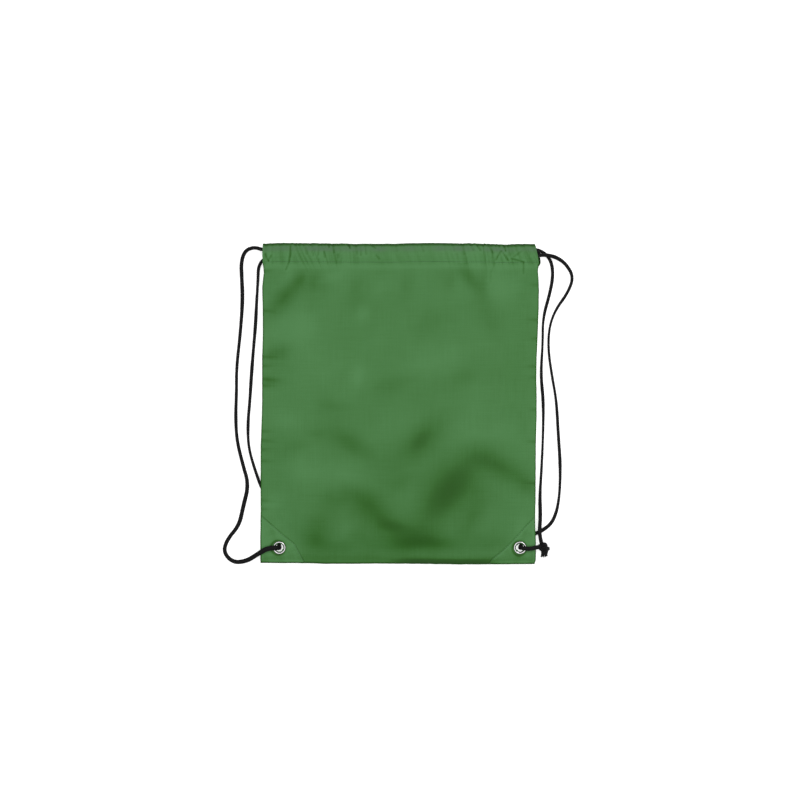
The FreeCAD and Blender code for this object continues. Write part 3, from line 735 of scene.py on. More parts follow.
def braid_mesh(name, points, along, half_width, half_height, twist, cords, closed=False):
    """A braided cord round a line.

    Its section is an ellipse that turns by twist.  Two families of strands wind round it, at
    a = s / p + n v and b = s / p - n v, with s along the cord and v round it.  In each crossing
    cell one family lies on top, and its strand stands out by the sine of its width.
    """
    level, upright = line_frames(points, closed)
    v = np.arange(AROUND) / AROUND
    turn = 2.0 * math.pi * v[None, :]
    repeats = along[:, None] / cords.strand_pitch
    a, b = repeats + STRANDS * v[None, :] / 2.0, repeats - STRANDS * v[None, :] / 2.0
    over = (np.floor(a) + np.floor(b)) % 2.0 < 1.0
    fa, fb = a - np.floor(a), b - np.floor(b)
    across, lengthwise = np.where(over, fa, fb), np.where(over, fb, fa)
    crown = np.sin(math.pi * across) ** 0.7 * (0.45 + 0.55 * np.sin(math.pi * lengthwise))
    cos, sin = np.cos(turn), np.sin(turn)
    wide = half_width[:, None] * cos
    tall = half_height[:, None] * sin
    swell = 1.0 + cords.relief * (crown - 0.5) / np.hypot(wide, tall)
    wide, tall = wide * swell, tall * swell
    ct, st = np.cos(twist)[:, None], np.sin(twist)[:, None]
    side, rise = wide * ct - tall * st, wide * st + tall * ct
    places = points[:, None, :] + side[..., None] * level[:, None, :] + rise[..., None] * upright[:, None, :]
    places[..., 2] = np.maximum(places[..., 2], 0.00002)
    quads = grid_faces(len(points), AROUND, wrap_rows=closed, wrap_columns=True)
    faces = quads[:, ::-1].tolist()
    if not closed:
        first = (len(points) - 1) * AROUND
        faces += [list(range(AROUND)), list(range(first + AROUND - 1, first - 1, -1))]
    mesh = new_mesh(name, places, faces)
    mesh.attributes.new("crown", "FLOAT", "POINT").data.foreach_set(
        "value", crown.astype(np.float32).ravel()
    )
    return mesh


def fibre_mesh(name, roots, tips, sag, radius):
    """Tapered fibres from roots to tips, bowed by sag: radius times (1 - 0.8 u) at share u."""
    u = np.linspace(0.0, 1.0, 5)
    v = 2.0 * math.pi * np.arange(5) / 5
    run = tips - roots
    line = roots[:, None, :] + run[:, None, :] * u[None, :, None]
    line += sag[:, None, :] * (4.0 * u * (1.0 - u))[None, :, None]
    run = run / np.linalg.norm(run, axis=1)[:, None]
    side = np.cross(run, [0.13, 0.21, 0.97])
    side /= np.linalg.norm(side, axis=1)[:, None]
    other = np.cross(run, side)
    ring = np.cos(v)[None, :, None] * side[:, None, :] + np.sin(v)[None, :, None] * other[:, None, :]
    thin = radius * (1.0 - 0.8 * u)
    places = line[:, :, None, :] + thin[None, :, None, None] * ring[:, None, :, :]
    places[..., 2] = np.maximum(places[..., 2], 0.00005)
    faces = []
    quads = grid_faces(len(u), len(v), wrap_columns=True)[:, ::-1]
    size = len(u) * len(v)
    for k in range(len(roots)):
        faces += (quads + k * size).tolist()
        faces.append([k * size + i for i in range(5)])
        faces.append([k * size + size - 1 - i for i in range(5)])
    return new_mesh(name, places, faces)


def stitch_mesh(name, starts, ends, up, radius):
    """A row of stitches, each a thin thread that bows up from its start and down to its end.

    Its height is r (1 - (2 u - 1)^4) and its radius r (1 - 0.7 (2 u - 1)^6) at share u.
    """
    u = np.linspace(0.0, 1.0, 7)
    v = 2.0 * math.pi * np.arange(6) / 6
    run = ends - starts
    lift = radius * (1.0 - (2.0 * u - 1.0) ** 4) - 0.4 * radius
    line = starts[:, None, :] + run[:, None, :] * u[None, :, None] + lift[None, :, None] * np.array(up)
    run = run / np.linalg.norm(run, axis=1)[:, None]
    side = np.cross(run, up)
    side /= np.linalg.norm(side, axis=1)[:, None]
    other = np.cross(side, run)
    ring = np.cos(v)[None, :, None] * side[:, None, :] + np.sin(v)[None, :, None] * other[:, None, :]
    thick = radius * (1.0 - 0.7 * (2.0 * u - 1.0) ** 6)
    places = line[:, :, None, :] + thick[None, :, None, None] * ring[:, None, :, :]
    quads = grid_faces(len(u), len(v), wrap_columns=True)
    size = len(u) * len(v)
    faces = []
    for k in range(len(starts)):
        faces += (quads + k * size).tolist()
        faces.append([k * size + 5 - i for i in range(6)])
        faces.append([k * size + size - 6 + i for i in range(6)])
    return new_mesh(name, places, faces)


def turned_mesh(name, radii, heights, centre, wobble=0.0):
    """A closed profile turned round an upright axis, with a faint unevenness round it."""
    count = 96
    v = 2.0 * math.pi * np.arange(count) / count
    uneven = 1.0 + wobble * np.sin(3.0 * v + 0.7)
    x = centre[0] + radii[:, None] * np.cos(v)[None, :] * uneven[None, :]
    y = centre[1] + radii[:, None] * np.sin(v)[None, :] * uneven[None, :]
    z = np.broadcast_to(heights[:, None], x.shape)
    quads = grid_faces(len(radii), count, wrap_rows=True, wrap_columns=True)
    return new_mesh(name, np.stack([x, y, z], -1), quads[:, ::-1].tolist())


def add_piece(mesh, material):
    """An object for a mesh, at the origin."""
    piece = bpy.data.objects.new(mesh.name, mesh)
    piece.data.materials.append(material)
    bpy.context.collection.objects.link(piece)
    return piece


def give_thickness(piece, thickness):
    """Solidify, inwards from the outer side."""
    solid = piece.modifiers.new("thickness", "SOLIDIFY")
    solid.thickness = thickness
    solid.offset = -1.0
    solid.use_even_offset = False


def follow_front(piece):
    """Bakes a piece's transform into its mesh, leaving it at the origin."""
    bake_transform(piece)


# ---------------------------------------------------------------------------
# Materials
# ---------------------------------------------------------------------------


def new_group(name, inputs, outputs):
    """An empty shader group with its named sockets."""
    group = bpy.data.node_groups.new(name, "ShaderNodeTree")
    for label, kind in inputs:
        group.interface.new_socket(name=label, in_out="INPUT", socket_type=kind)
    for label, kind in outputs:
        group.interface.new_socket(name=label, in_out="OUTPUT", socket_type=kind)
    return group, group.nodes.new("NodeGroupInput"), group.nodes.new("NodeGroupOutput")


def maths(tree, operation, *values):
    """A Math node fed by sockets or numbers."""
    node = tree.nodes.new("ShaderNodeMath")
    node.operation = operation
    for slot, value in zip(node.inputs, values):
        if isinstance(value, (int, float)):
            slot.default_value = value
        else:
            tree.links.new(value, slot)
    return node.outputs[0]


def noise(tree, vector, scale, detail=2.0):
    """A Noise texture's factor."""
    node = tree.nodes.new("ShaderNodeTexNoise")
    node.inputs["Scale"].default_value = scale
    node.inputs["Detail"].default_value = detail
    tree.links.new(vector, node.inputs["Vector"])
    return node.outputs["Fac"]


def relief(tree, shader, height, strength, distance):
    """A Bump node from a height to a shader's normal."""
    bump = tree.nodes.new("ShaderNodeBump")
    bump.inputs["Strength"].default_value = strength
    bump.inputs["Distance"].default_value = distance
    tree.links.new(height, bump.inputs["Height"])
    tree.links.new(bump.outputs[0], shader.inputs["Normal"])


def object_places(tree):
    """Object coordinates."""
    return tree.nodes.new("ShaderNodeTexCoord").outputs["Object"]


def attribute(tree, name):
    """The factor of a mesh's own attribute."""
    node = tree.nodes.new("ShaderNodeAttribute")
    node.attribute_name = name
    return node.outputs["Fac"]


def weave_group():
    """Plain weave: in each cell either the warp or the weft yarn is on top, with a round back."""
    known = bpy.data.node_groups.get("Plain weave")
    if known:
        return known
    group, given, out = new_group(
        "Plain weave",
        [("Cloth", "NodeSocketVector"), ("Pitch", "NodeSocketFloat")],
        [("Height", "NodeSocketFloat"), ("Streaks", "NodeSocketFloat")],
    )
    parts = group.nodes.new("ShaderNodeSeparateXYZ")
    group.links.new(given.outputs["Cloth"], parts.inputs[0])
    u = maths(group, "DIVIDE", parts.outputs[0], given.outputs["Pitch"])
    v = maths(group, "DIVIDE", parts.outputs[1], given.outputs["Pitch"])
    warp = maths(group, "ABSOLUTE", maths(group, "SINE", maths(group, "MULTIPLY", u, math.pi)))
    weft = maths(group, "ABSOLUTE", maths(group, "SINE", maths(group, "MULTIPLY", v, math.pi)))
    cells = maths(group, "ADD", maths(group, "FLOOR", u), maths(group, "FLOOR", v))
    odd = maths(group, "ABSOLUTE", maths(group, "MODULO", cells, 2.0))
    even = maths(group, "SUBTRACT", 1.0, odd)
    top = maths(group, "ADD", maths(group, "MULTIPLY", warp, odd), maths(group, "MULTIPLY", weft, even))
    group.links.new(top, out.inputs["Height"])
    streaks = []
    for stretch in ((900.0, 22.0, 1.0), (22.0, 900.0, 1.0)):
        mapping = group.nodes.new("ShaderNodeMapping")
        mapping.inputs["Scale"].default_value = stretch
        group.links.new(given.outputs["Cloth"], mapping.inputs["Vector"])
        streaks.append(noise(group, mapping.outputs[0], 1.0))
    group.links.new(maths(group, "MULTIPLY", maths(group, "ADD", *streaks), 0.5), out.inputs["Streaks"])
    return group


def new_material(name):
    """A node material with its Principled shader and node tree."""
    material = bpy.data.materials.new(name)
    material.use_nodes = True
    return material, material.node_tree, material.node_tree.nodes["Principled BSDF"]


def place_group(tree, group, **values):
    """A placed shader group with its own values."""
    node = tree.nodes.new("ShaderNodeGroup")
    node.node_tree = group
    for label, value in values.items():
        node.inputs[label].default_value = value
    return node


def mix_colours(tree, factor, first, second):
    """A colour mix of two constants or sockets."""
    mix = tree.nodes.new("ShaderNodeMix")
    mix.data_type = "RGBA"
    tree.links.new(factor, mix.inputs["Factor"])
    for slot, value in ((mix.inputs["A"], first), (mix.inputs["B"], second)):
        if isinstance(value, bpy.types.NodeSocket):
            tree.links.new(value, slot)
        else:
            slot.default_value = (*value, 1.0)
    return mix.outputs["Result"]


def remap(tree, value, from_low, from_high, to_low=0.0, to_high=1.0):
    """Linear remap, clamped."""
    node = tree.nodes.new("ShaderNodeMapRange")
    tree.links.new(value, node.inputs["Value"])
    for label, number in (
        ("From Min", from_low), ("From Max", from_high), ("To Min", to_low), ("To Max", to_high),
    ):
        node.inputs[label].default_value = number
    return node.outputs[0]


def cloth_material(cloth):
    """Woven polyester: green yarns in a plain weave, with slubs, faint dirt, a soft gloss, painted shade and
    a painted sheen.
    """
    known = bpy.data.materials.get("green polyester")
    if known:
        return known
    material, tree, shader = new_material("green polyester")
    uv = tree.nodes.new("ShaderNodeUVMap")
    uv.uv_map = "weave"
    weave = place_group(tree, weave_group(), Pitch=cloth.yarn)
    tree.links.new(uv.outputs[0], weave.inputs["Cloth"])
    places = object_places(tree)
    shade, painted_sheen = attribute(tree, "shade"), attribute(tree, "painted_sheen")
    # Painted shade and painted light: the shade attribute moves the cloth between its painted-shade dark
    # green and its painted-sheen light green.
    soft = maths(tree, "MULTIPLY", shade, 0.62)
    small = maths(tree, "MULTIPLY", noise(tree, places, 16.0, 3.0), 0.55)
    broad = maths(tree, "MULTIPLY", noise(tree, places, 5.5, 1.0), 0.45)
    clouds = maths(tree, "ADD", small, broad)
    mottled = maths(tree, "MULTIPLY", maths(tree, "SUBTRACT", clouds, 0.5), 0.95)
    streaked = maths(tree, "MULTIPLY", maths(tree, "SUBTRACT", weave.outputs["Streaks"], 0.5), 0.8)
    lift = maths(tree, "MULTIPLY", maths(tree, "SUBTRACT", weave.outputs["Height"], 0.6), 0.35)
    factor = maths(tree, "ADD", maths(tree, "ADD", maths(tree, "SUBTRACT", 0.66, soft), mottled), streaked)
    factor = maths(tree, "ADD", factor, lift)
    green = mix_colours(tree, remap(tree, factor, -0.1, 1.0), cloth.dark, cloth.light)
    # Painted sheen: greys the cloth along the casing's crest and top fold.
    painted_sheen_share = maths(tree, "MULTIPLY", painted_sheen, remap(tree, factor, 0.1, 0.7, 0.25, 0.85))
    even = mix_colours(tree, painted_sheen_share, green, cloth.painted_sheen)
    # Deep painted shade mixes the cloth towards a darker shadow green.
    deep = remap(tree, shade, 0.9, 2.2, 0.0, 0.8)
    shadow = tuple(0.35 * c for c in cloth.dark)
    tree.links.new(mix_colours(tree, deep, even, shadow), shader.inputs["Base Color"])
    tree.links.new(remap(tree, weave.outputs["Streaks"], 0.3, 0.7, 0.50, 0.62), shader.inputs["Roughness"])
    relief(tree, shader, weave.outputs["Height"], 0.35, 0.00012)
    shader.inputs["Specular IOR Level"].default_value = 0.15
    shader.inputs["Sheen Weight"].default_value = 0.05
    shader.inputs["Sheen Roughness"].default_value = 0.45
    shader.inputs["Sheen Tint"].default_value = (0.75, 0.95, 0.78, 1.0)
    return material


def cord_material(cords):
    """Black braided polyester: dull valleys, and crowns painted with a little grey sheen."""
    known = bpy.data.materials.get("black braid")
    if known:
        return known
    material, tree, shader = new_material("black braid")
    fleck = noise(tree, object_places(tree), 900.0)
    # Painted sheen: the strands' crowns are mixed towards the grey, flecked by noise.
    top = remap(tree, attribute(tree, "crown"), 0.55, 1.0)
    lit = maths(tree, "MULTIPLY", top, remap(tree, fleck, 0.35, 0.65))
    tree.links.new(mix_colours(tree, lit, cords.yarn, cords.sheen), shader.inputs["Base Color"])
    tree.links.new(remap(tree, fleck, 0.3, 0.7, 0.62, 0.78), shader.inputs["Roughness"])
    relief(tree, shader, fleck, 0.4, 0.0001)
    shader.inputs["Specular IOR Level"].default_value = 0.12
    return material


def thread_material(cloth):
    """Green sewing thread with the slant of its twist."""
    known = bpy.data.materials.get("green thread")
    if known:
        return known
    material, tree, shader = new_material("green thread")
    mapping = tree.nodes.new("ShaderNodeMapping")
    mapping.inputs["Rotation"].default_value = (0.0, 0.0, math.radians(35.0))
    ply = tree.nodes.new("ShaderNodeTexWave")
    ply.inputs["Scale"].default_value = 900.0
    ply.inputs["Distortion"].default_value = 1.5
    tree.links.new(object_places(tree), mapping.inputs["Vector"])
    tree.links.new(mapping.outputs[0], ply.inputs["Vector"])
    darker = tuple(0.55 * c for c in cloth.thread)
    tree.links.new(mix_colours(tree, ply.outputs["Fac"], darker, cloth.thread), shader.inputs["Base Color"])
    tree.links.new(remap(tree, ply.outputs["Fac"], 0.0, 1.0, 0.62, 0.48), shader.inputs["Roughness"])
    relief(tree, shader, ply.outputs["Fac"], 0.5, 0.00008)
    return material


def metal_material(cords):
    """Bright nickel plating with fine scratches and a little tarnish."""
    known = bpy.data.materials.get("nickel plate")
    if known:
        return known
    material, tree, shader = new_material("nickel plate")
    places = object_places(tree)
    scratch, tarnish = noise(tree, places, 1400.0, 4.0), noise(tree, places, 180.0)
    dull = remap(tree, tarnish, 0.4, 0.7)
    aged = tuple(0.72 * c for c in cords.metal)
    tree.links.new(mix_colours(tree, dull, cords.metal, aged), shader.inputs["Base Color"])
    tree.links.new(remap(tree, scratch, 0.35, 0.75, 0.10, 0.26), shader.inputs["Roughness"])
    shader.inputs["Metallic"].default_value = 1.0
    relief(tree, shader, scratch, 0.12, 0.00004)
    return material


# ---------------------------------------------------------------------------
# Operators
# ---------------------------------------------------------------------------

EDGE_STEPS = np.array([0.0, 0.00015, 0.0004, 0.0008, 0.0013, 0.0019, 0.0027, 0.0038, 0.0050])
RING_END = CASING_LINE + RING_UNIT * (math.pi + FLAP_END)
EYELETS = [(side * EYELET_X, EYELET_Y) for side in (-1, 1)]
HOLE_RADIUS = 0.0060        # cut in the cloth for each eyelet's barrel


def cloth_rows(step, ring_step):
    """Row values from the bottom edge to the end of the casing's inner wall."""
    body = spaced(BOTTOM + 0.0064, CASING_LINE - 0.0120, step)
    return np.concatenate([
        BOTTOM + EDGE_STEPS, body, spaced(CASING_LINE - 0.0112, CASING_LINE, 0.0008),
        spaced(CASING_LINE + 0.0004, RING_END, ring_step),
    ])


def cloth_columns(step, side=0):
    """Nominal x values: from one side to the middle, or right across when side is 0."""
    half = np.concatenate([EDGE_STEPS, spaced(0.0064, HALF_WIDTH, step)])
    left = half - HALF_WIDTH
    if side < 0:
        return left
    if side > 0:
        return -left[::-1]
    return np.concatenate([left, -left[-2::-1]])


def cloth_piece(name, columns, rows, face, cloth):
    """A sheet of cloth over columns and rows, with its weave's distances."""
    x, row = np.meshgrid(columns, rows)
    places, *looks = cloth_place(x, row, face, cloth)
    past = np.maximum(row - CASING_LINE, 0.0) / RING_UNIT
    along = np.minimum(row, CASING_LINE) + past * (2.0 * RING_HALF + 0.006) / math.pi
    mesh = sheet_mesh(name, places, x, along, looks, EYELETS, HOLE_RADIUS, flip=face < 0)
    piece = add_piece(mesh, cloth_material(cloth))
    give_thickness(piece, cloth.thickness)
    return piece


class BAG_OT_front(bpy.types.Operator):
    """Front cloth in two halves, each with its half of the casing"""

    bl_idname = "bag.front"
    bl_label = "Front cloth"

    def execute(self, context):
        cloth = context.scene.bag_cloth
        rows = cloth_rows(0.0017, 0.00065)
        for side, word in ((-1, "left"), (1, "right")):
            piece = cloth_piece(f"front_cloth_{word}", cloth_columns(0.0016, side), rows, 1, cloth)
            follow_front(piece)
            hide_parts("front_panel", "front_casing")
        return {"FINISHED"}


class BAG_OT_back(bpy.types.Operator):
    """Back cloth with its casing, lying on the floor"""

    bl_idname = "bag.back"
    bl_label = "Back cloth"

    def execute(self, context):
        cloth = context.scene.bag_cloth
        piece = cloth_piece("back_cloth", cloth_columns(0.0030), cloth_rows(0.0030, 0.0014), -1, cloth)
        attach(piece, "back")
        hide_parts("back_panel", "back_casing")
        return {"FINISHED"}


def seam_tape(name, centre_line, inwards, cloth):
    """A turned-in seam allowance: a strip along the seam with an uneven raw edge."""
    share = np.linspace(0.0, 1.0, 5)
    reach = 0.0062 + 0.0007 * ripple(np.arange(len(centre_line)) * 0.1, 0.35, 31)
    places = centre_line[:, None, :] + (reach[:, None] * share[None, :])[..., None] * np.array(inwards)
    places[..., 2] += 0.00012 * np.sin(6.0 * share)[None, :]
    along = np.broadcast_to(np.linspace(0.0, 0.38, len(centre_line))[:, None], places.shape[:2])
    across = np.broadcast_to(0.006 * share[None, :], places.shape[:2])
    # The tape is painted with an even shade of 0.6 and no painted sheen.
    looks = np.full(places.shape[:2], 0.6), np.zeros(places.shape[:2])
    mesh = sheet_mesh(name, places, across, along, looks, [], 0.0)
    piece = add_piece(mesh, cloth_material(cloth))
    give_thickness(piece, 0.0003)
    return piece


class BAG_OT_seams(bpy.types.Operator):
    """Seam allowances inside the sides and the bottom"""

    bl_idname = "bag.seams"
    bl_label = "Seams"

    def execute(self, context):
        cloth = context.scene.bag_cloth
        for side, word in ((-1, "left"), (1, "right")):
            y = spaced(BOTTOM + 0.004, CASING_LINE - 0.002, 0.004)
            x = side * (side_line(y, side) - 0.0009)
            line = np.stack([x, y, np.full(len(y), SEAM_LINE + 0.0001)], -1)
            if side < 0:
                line = line[::-1]
            piece = seam_tape(f"{word}_side_seam_tape", line, (-side, 0.0, 0.0), cloth)
            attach(piece, "back")
            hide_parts(f"{word}_side_seam")
        x = spaced(-HALF_WIDTH + 0.004, HALF_WIDTH - 0.004, 0.004)
        line = np.stack([x, np.full(len(x), BOTTOM + 0.0009), np.full(len(x), SEAM_LINE + 0.0001)], -1)
        piece = seam_tape("bottom_seam_tape", line[::-1], (0.0, 1.0, 0.0), cloth)
        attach(piece, "back")
        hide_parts("bottom_seam")
        return {"FINISHED"}


PATCH_THICKNESS = 0.00045
PATCH_MARGIN = 0.0006       # from the bag's outline and the slanting line to the patch's own edge
PATCH_ROLL = 0.0007         # width over which a patch's edge rounds down
TURNED_EDGE = 0.0018        # from a patch's edge to the ridge of its turned-in hem
HEM_RIDGE = 0.00022
EYELET_SHADOW_RADIUS = 0.0092       # the ring of painted shadow round each eyelet on the cloth
# Slanting edges of the patches: x and y from the bag's corner, at the side, the bend and the bottom.
PATCH_EDGES = {
    -1: [(0.0, 0.0645), (0.0145, 0.0515), (0.0288, 0.0385), (0.0438, 0.0263), (0.0575, 0.0)],
    1: [(0.0, 0.0635), (0.0131, 0.0508), (0.0308, 0.0323), (0.0448, 0.0191), (0.0592, 0.0080), (0.0650, 0.0)],
}


def patch_reach(inwards, side):
    """Height of a patch's slanting edge above the bottom, at a distance inwards from the side."""
    points = np.array(PATCH_EDGES[side])
    return np.interp(inwards, points[:, 0], points[:, 1])


def patch_piece(name, side, face, cloth):
    """A corner patch over the cloth: columns in from the side, rows up to the slanting edge."""
    last = PATCH_EDGES[side][-1][0] - 0.0012
    inwards = np.concatenate([[PATCH_MARGIN, 0.0009, 0.0014], spaced(0.0022, last, 0.0011)])
    share = np.concatenate([[0.0, 0.006, 0.02], spaced(0.04, 0.95, 0.03), [0.97, 0.985, 1.0]])
    reach = patch_reach(inwards, side) - PATCH_MARGIN
    i, s = np.meshgrid(inwards, share)
    above = PATCH_MARGIN + s * reach[None, :]
    x, y = side * (HALF_WIDTH - i), BOTTOM + above
    below, shade, painted_sheen = cloth_place(x, y, face, cloth)
    gap = np.minimum(np.minimum(i, above) - 0.0004, (patch_reach(i, side) - above) * 0.72)
    dome = PATCH_THICKNESS * np.sqrt(1.0 - (1.0 - np.clip(gap / PATCH_ROLL, 0.0, 1.0)) ** 2)
    edge_ridge = HEM_RIDGE * band(gap - TURNED_EDGE, 0.0009)
    waves = 0.00010 * ripple(i * 0.8 + above * 0.5, 0.006, 40 + side)
    places = below.copy()
    places[..., 2] += face * (0.00005 + dome + edge_ridge + waves * ease(gap / 0.004))
    # Painted shade in a line along the patch's slanting edge, and a painted lighter band just inside it.
    line = 1.3 if side < 0 else 0.65
    ridge = -0.5 * band(gap - 0.0024, 0.0014) + line * band(gap, 0.0009)
    mottled = 0.30 * ripple(i * 1.3 + above * 0.4, 0.009, 44)
    mottled = mottled + 0.22 * ripple(above * 1.2 - i * 0.5, 0.007, 45)
    # A ring of painted shadow round the eyelet.
    from_eyelet = np.hypot(HALF_WIDTH - i - EYELET_X, y - EYELET_Y)
    eyelet_shadow = 1.7 * band(from_eyelet - EYELET_SHADOW_RADIUS, 0.0014)
    looks = (0.75 * shade + ridge + mottled + eyelet_shadow, painted_sheen)
    across, along = x + 0.31 * y, y - 0.31 * x
    flip = side * face > 0
    mesh = sheet_mesh(name, places, across, along, looks, EYELETS, HOLE_RADIUS, flip=flip)
    piece = add_piece(mesh, cloth_material(cloth))
    give_thickness(piece, PATCH_THICKNESS)
    return piece


class BAG_OT_patches(bpy.types.Operator):
    """Triangular patches that strengthen the bottom corners, in front and behind"""

    bl_idname = "bag.patches"
    bl_label = "Corner patches"

    def execute(self, context):
        cloth = context.scene.bag_cloth
        for side, word in ((-1, "left"), (1, "right")):
            for face, layer in ((1, "front"), (-1, "back")):
                piece = patch_piece(f"{word}_{layer}_corner", side, face, cloth)
                if face > 0:
                    follow_front(piece)
                else:
                    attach(piece, "back")
                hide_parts(f"{word}_{layer}_patch")
        return {"FINISHED"}


STITCH_PITCH = 0.0030
STITCH_LENGTH = 0.0023
THREAD_RADIUS = 0.00022


def casing_row(side, face, cloth):
    """Start and end of each stitch along a casing, on one half, a little above its seam."""
    centres = side * spaced(STITCH_PITCH / 2.0, HALF_WIDTH - 0.0025, STITCH_PITCH)
    y = np.full(len(centres), CASING_LINE + 0.0019) + 0.00012 * ripple(centres, 0.004, 51)
    angle = math.pi - np.arccos(np.clip(((RING_MIDDLE - y) / RING_HALF), 0.0, 1.0) ** (1.0 / RING_POWER))
    row = CASING_LINE + RING_UNIT * (math.pi - angle)
    half = STITCH_LENGTH / 2.0
    starts = cloth_place(centres - half, row, face, cloth)[0]
    ends = cloth_place(centres + half, row, face, cloth)[0]
    return starts, ends


def patch_row(side, face, cloth):
    """Start and end of each stitch along a patch's slanting edge, just inside it."""
    points = np.array(PATCH_EDGES[side])
    runs = np.linalg.norm(np.diff(points, axis=0), axis=1)
    along = np.concatenate([[0.0], np.cumsum(runs)])
    centres = np.arange(0.003, along[-1] - 0.002, STITCH_PITCH)
    found = []
    for shift in (-STITCH_LENGTH / 2.0, STITCH_LENGTH / 2.0):
        inwards = np.interp(centres + shift, along, points[:, 0])
        above = np.interp(centres + shift, along, points[:, 1])
        x, y = side * (HALF_WIDTH - inwards + 0.0010), BOTTOM + above - 0.0011
        places = cloth_place(x, y, face, cloth)[0]
        places[..., 2] += face * (PATCH_THICKNESS + 0.00025)
        found.append(places)
    return found


class BAG_OT_stitching(bpy.types.Operator):
    """Rows of stitches along the casings and round the corner patches"""

    bl_idname = "bag.stitching"
    bl_label = "Stitching"

    def execute(self, context):
        cloth = context.scene.bag_cloth
        thread = thread_material(cloth)
        back_starts, back_ends = [], []
        for side, word in ((-1, "left"), (1, "right")):
            starts, ends = casing_row(side, 1, cloth)
            mesh = stitch_mesh(f"front_casing_stitches_{word}", starts, ends, (0, 0, 1), THREAD_RADIUS)
            row = add_piece(mesh, thread)
            follow_front(row)
            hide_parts("front_casing_stitching")
            starts, ends = casing_row(side, -1, cloth)
            back_starts.append(starts)
            back_ends.append(ends)
            for face, layer in ((1, "front"), (-1, "back")):
                starts, ends = patch_row(side, face, cloth)
                name = f"{word}_{layer}_corner_stitches"
                row = add_piece(stitch_mesh(name, starts, ends, (0, 0, face), THREAD_RADIUS), thread)
                if face > 0:
                    follow_front(row)
                else:
                    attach(row, "back")
                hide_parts(f"{word}_patch_stitching")
        starts, ends = np.concatenate(back_starts), np.concatenate(back_ends)
        row = add_piece(stitch_mesh("back_casing_stitches", starts, ends, (0, 0, -1), THREAD_RADIUS), thread)
        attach(row, "back")
        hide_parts("back_casing_stitching")
        return {"FINISHED"}


BORE, BARREL_WALL, RIM_TUBE = 0.0055, 0.0005, 0.0013


def half_width_of(node):
    """Half of a CAD node's width."""
    return (high(node)[0] - low(node)[0]) / 2.0


def eyelet_profile(node):
    """Radii and heights round an eyelet: up the bore, over the flange's crown, back under it, down
    the barrel and round the roll at its foot."""
    foot, crest, outer = low(node)[2], high(node)[2], half_width_of(node)
    seat = PATCH_TOP + 0.0001
    turn = np.linspace(0.0, math.pi, 25)
    waist = outer - RIM_TUBE
    crown_r = waist - RIM_TUBE * np.cos(turn)
    crown_z = seat + (crest + 0.0004 - seat) * np.sin(turn) ** 0.8
    fall = np.linspace(0.0, 1.0, 8)[:-1]
    funnel_r = BORE + (waist - RIM_TUBE - BORE) * fall ** 0.6
    funnel_z = seat - 0.0006 + 0.0006 * fall ** 1.6
    under_r = np.linspace(outer - 0.0002, BORE + BARREL_WALL, 8)
    roll = np.linspace(0.0, math.pi, 9)
    roll_r = BORE + BARREL_WALL / 2.0 + 0.0004 + 0.0009 * np.cos(roll)
    roll_z = foot + 0.0003 - 0.0003 * np.sin(roll)
    radii = np.concatenate([
        np.full(10, BORE), funnel_r, crown_r, under_r, np.full(8, BORE + BARREL_WALL), roll_r,
    ])
    heights = np.concatenate([
        np.linspace(foot + 0.0005, seat - 0.0008, 10), funnel_z, crown_z, np.full(8, seat - 0.0002),
        np.linspace(seat - 0.0006, foot + 0.0006, 8), roll_z,
    ])
    return radii, heights


def washer_profile(node):
    """Radii and heights round a washer, an oblong with rounded corners."""
    base, top, rim = low(node)[2], high(node)[2], half_width_of(node)
    turn = 2.0 * math.pi * np.arange(40) / 40
    middle, half = (rim + BORE + BARREL_WALL) / 2.0, (rim - BORE - BARREL_WALL) / 2.0
    cos, sin = np.cos(turn), np.sin(turn)
    radii = middle + half * np.sign(cos) * np.abs(cos) ** 0.5
    heights = (base + top) / 2.0 + (top - base) / 2.0 * np.sign(sin) * np.abs(sin) ** 0.5
    return radii, heights


class BAG_OT_eyelets(bpy.types.Operator):
    """Plated eyelets and their washers in the bottom corners"""

    bl_idname = "bag.eyelets"
    bl_label = "Eyelets"

    def execute(self, context):
        metal = metal_material(context.scene.bag_cords)
        for side, word in ((-1, "left"), (1, "right")):
            centre = (side * EYELET_X, EYELET_Y)
            for name, node, profile in (
                (f"{word}_eyelet_ring", f"{word}_eyelet", eyelet_profile),
                (f"{word}_washer", f"{word}_eyelet_washer", washer_profile),
            ):
                piece = add_piece(turned_mesh(name, *profile(node), centre, 0.004), metal)
                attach(piece, "back")
                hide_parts(node)
        return {"FINISHED"}


def cord_piece(name, route, cords, seed, widths=((0.0, 1.0), (1.0, 1.0))):
    """A braided cord along a route: wide where it lies flat, narrow where it stands on edge."""
    points, along = even_rings(smooth_line(route), cords.ring_step)
    wide = cords.width * table(widths, along) * (1.0 + 0.03 * ripple(along, 0.011, seed + 1))
    half_width = wide / 2.0
    half_height = np.clip(cords.section ** 2 / wide, 0.0033, 0.0047) / 2.0
    twist = math.radians(10.0) * ripple(along, 0.060, seed + 2)
    mesh = braid_mesh(name, points, along, half_width, half_height, twist, cords)
    return add_piece(mesh, cord_material(cords)), points, along[-1]


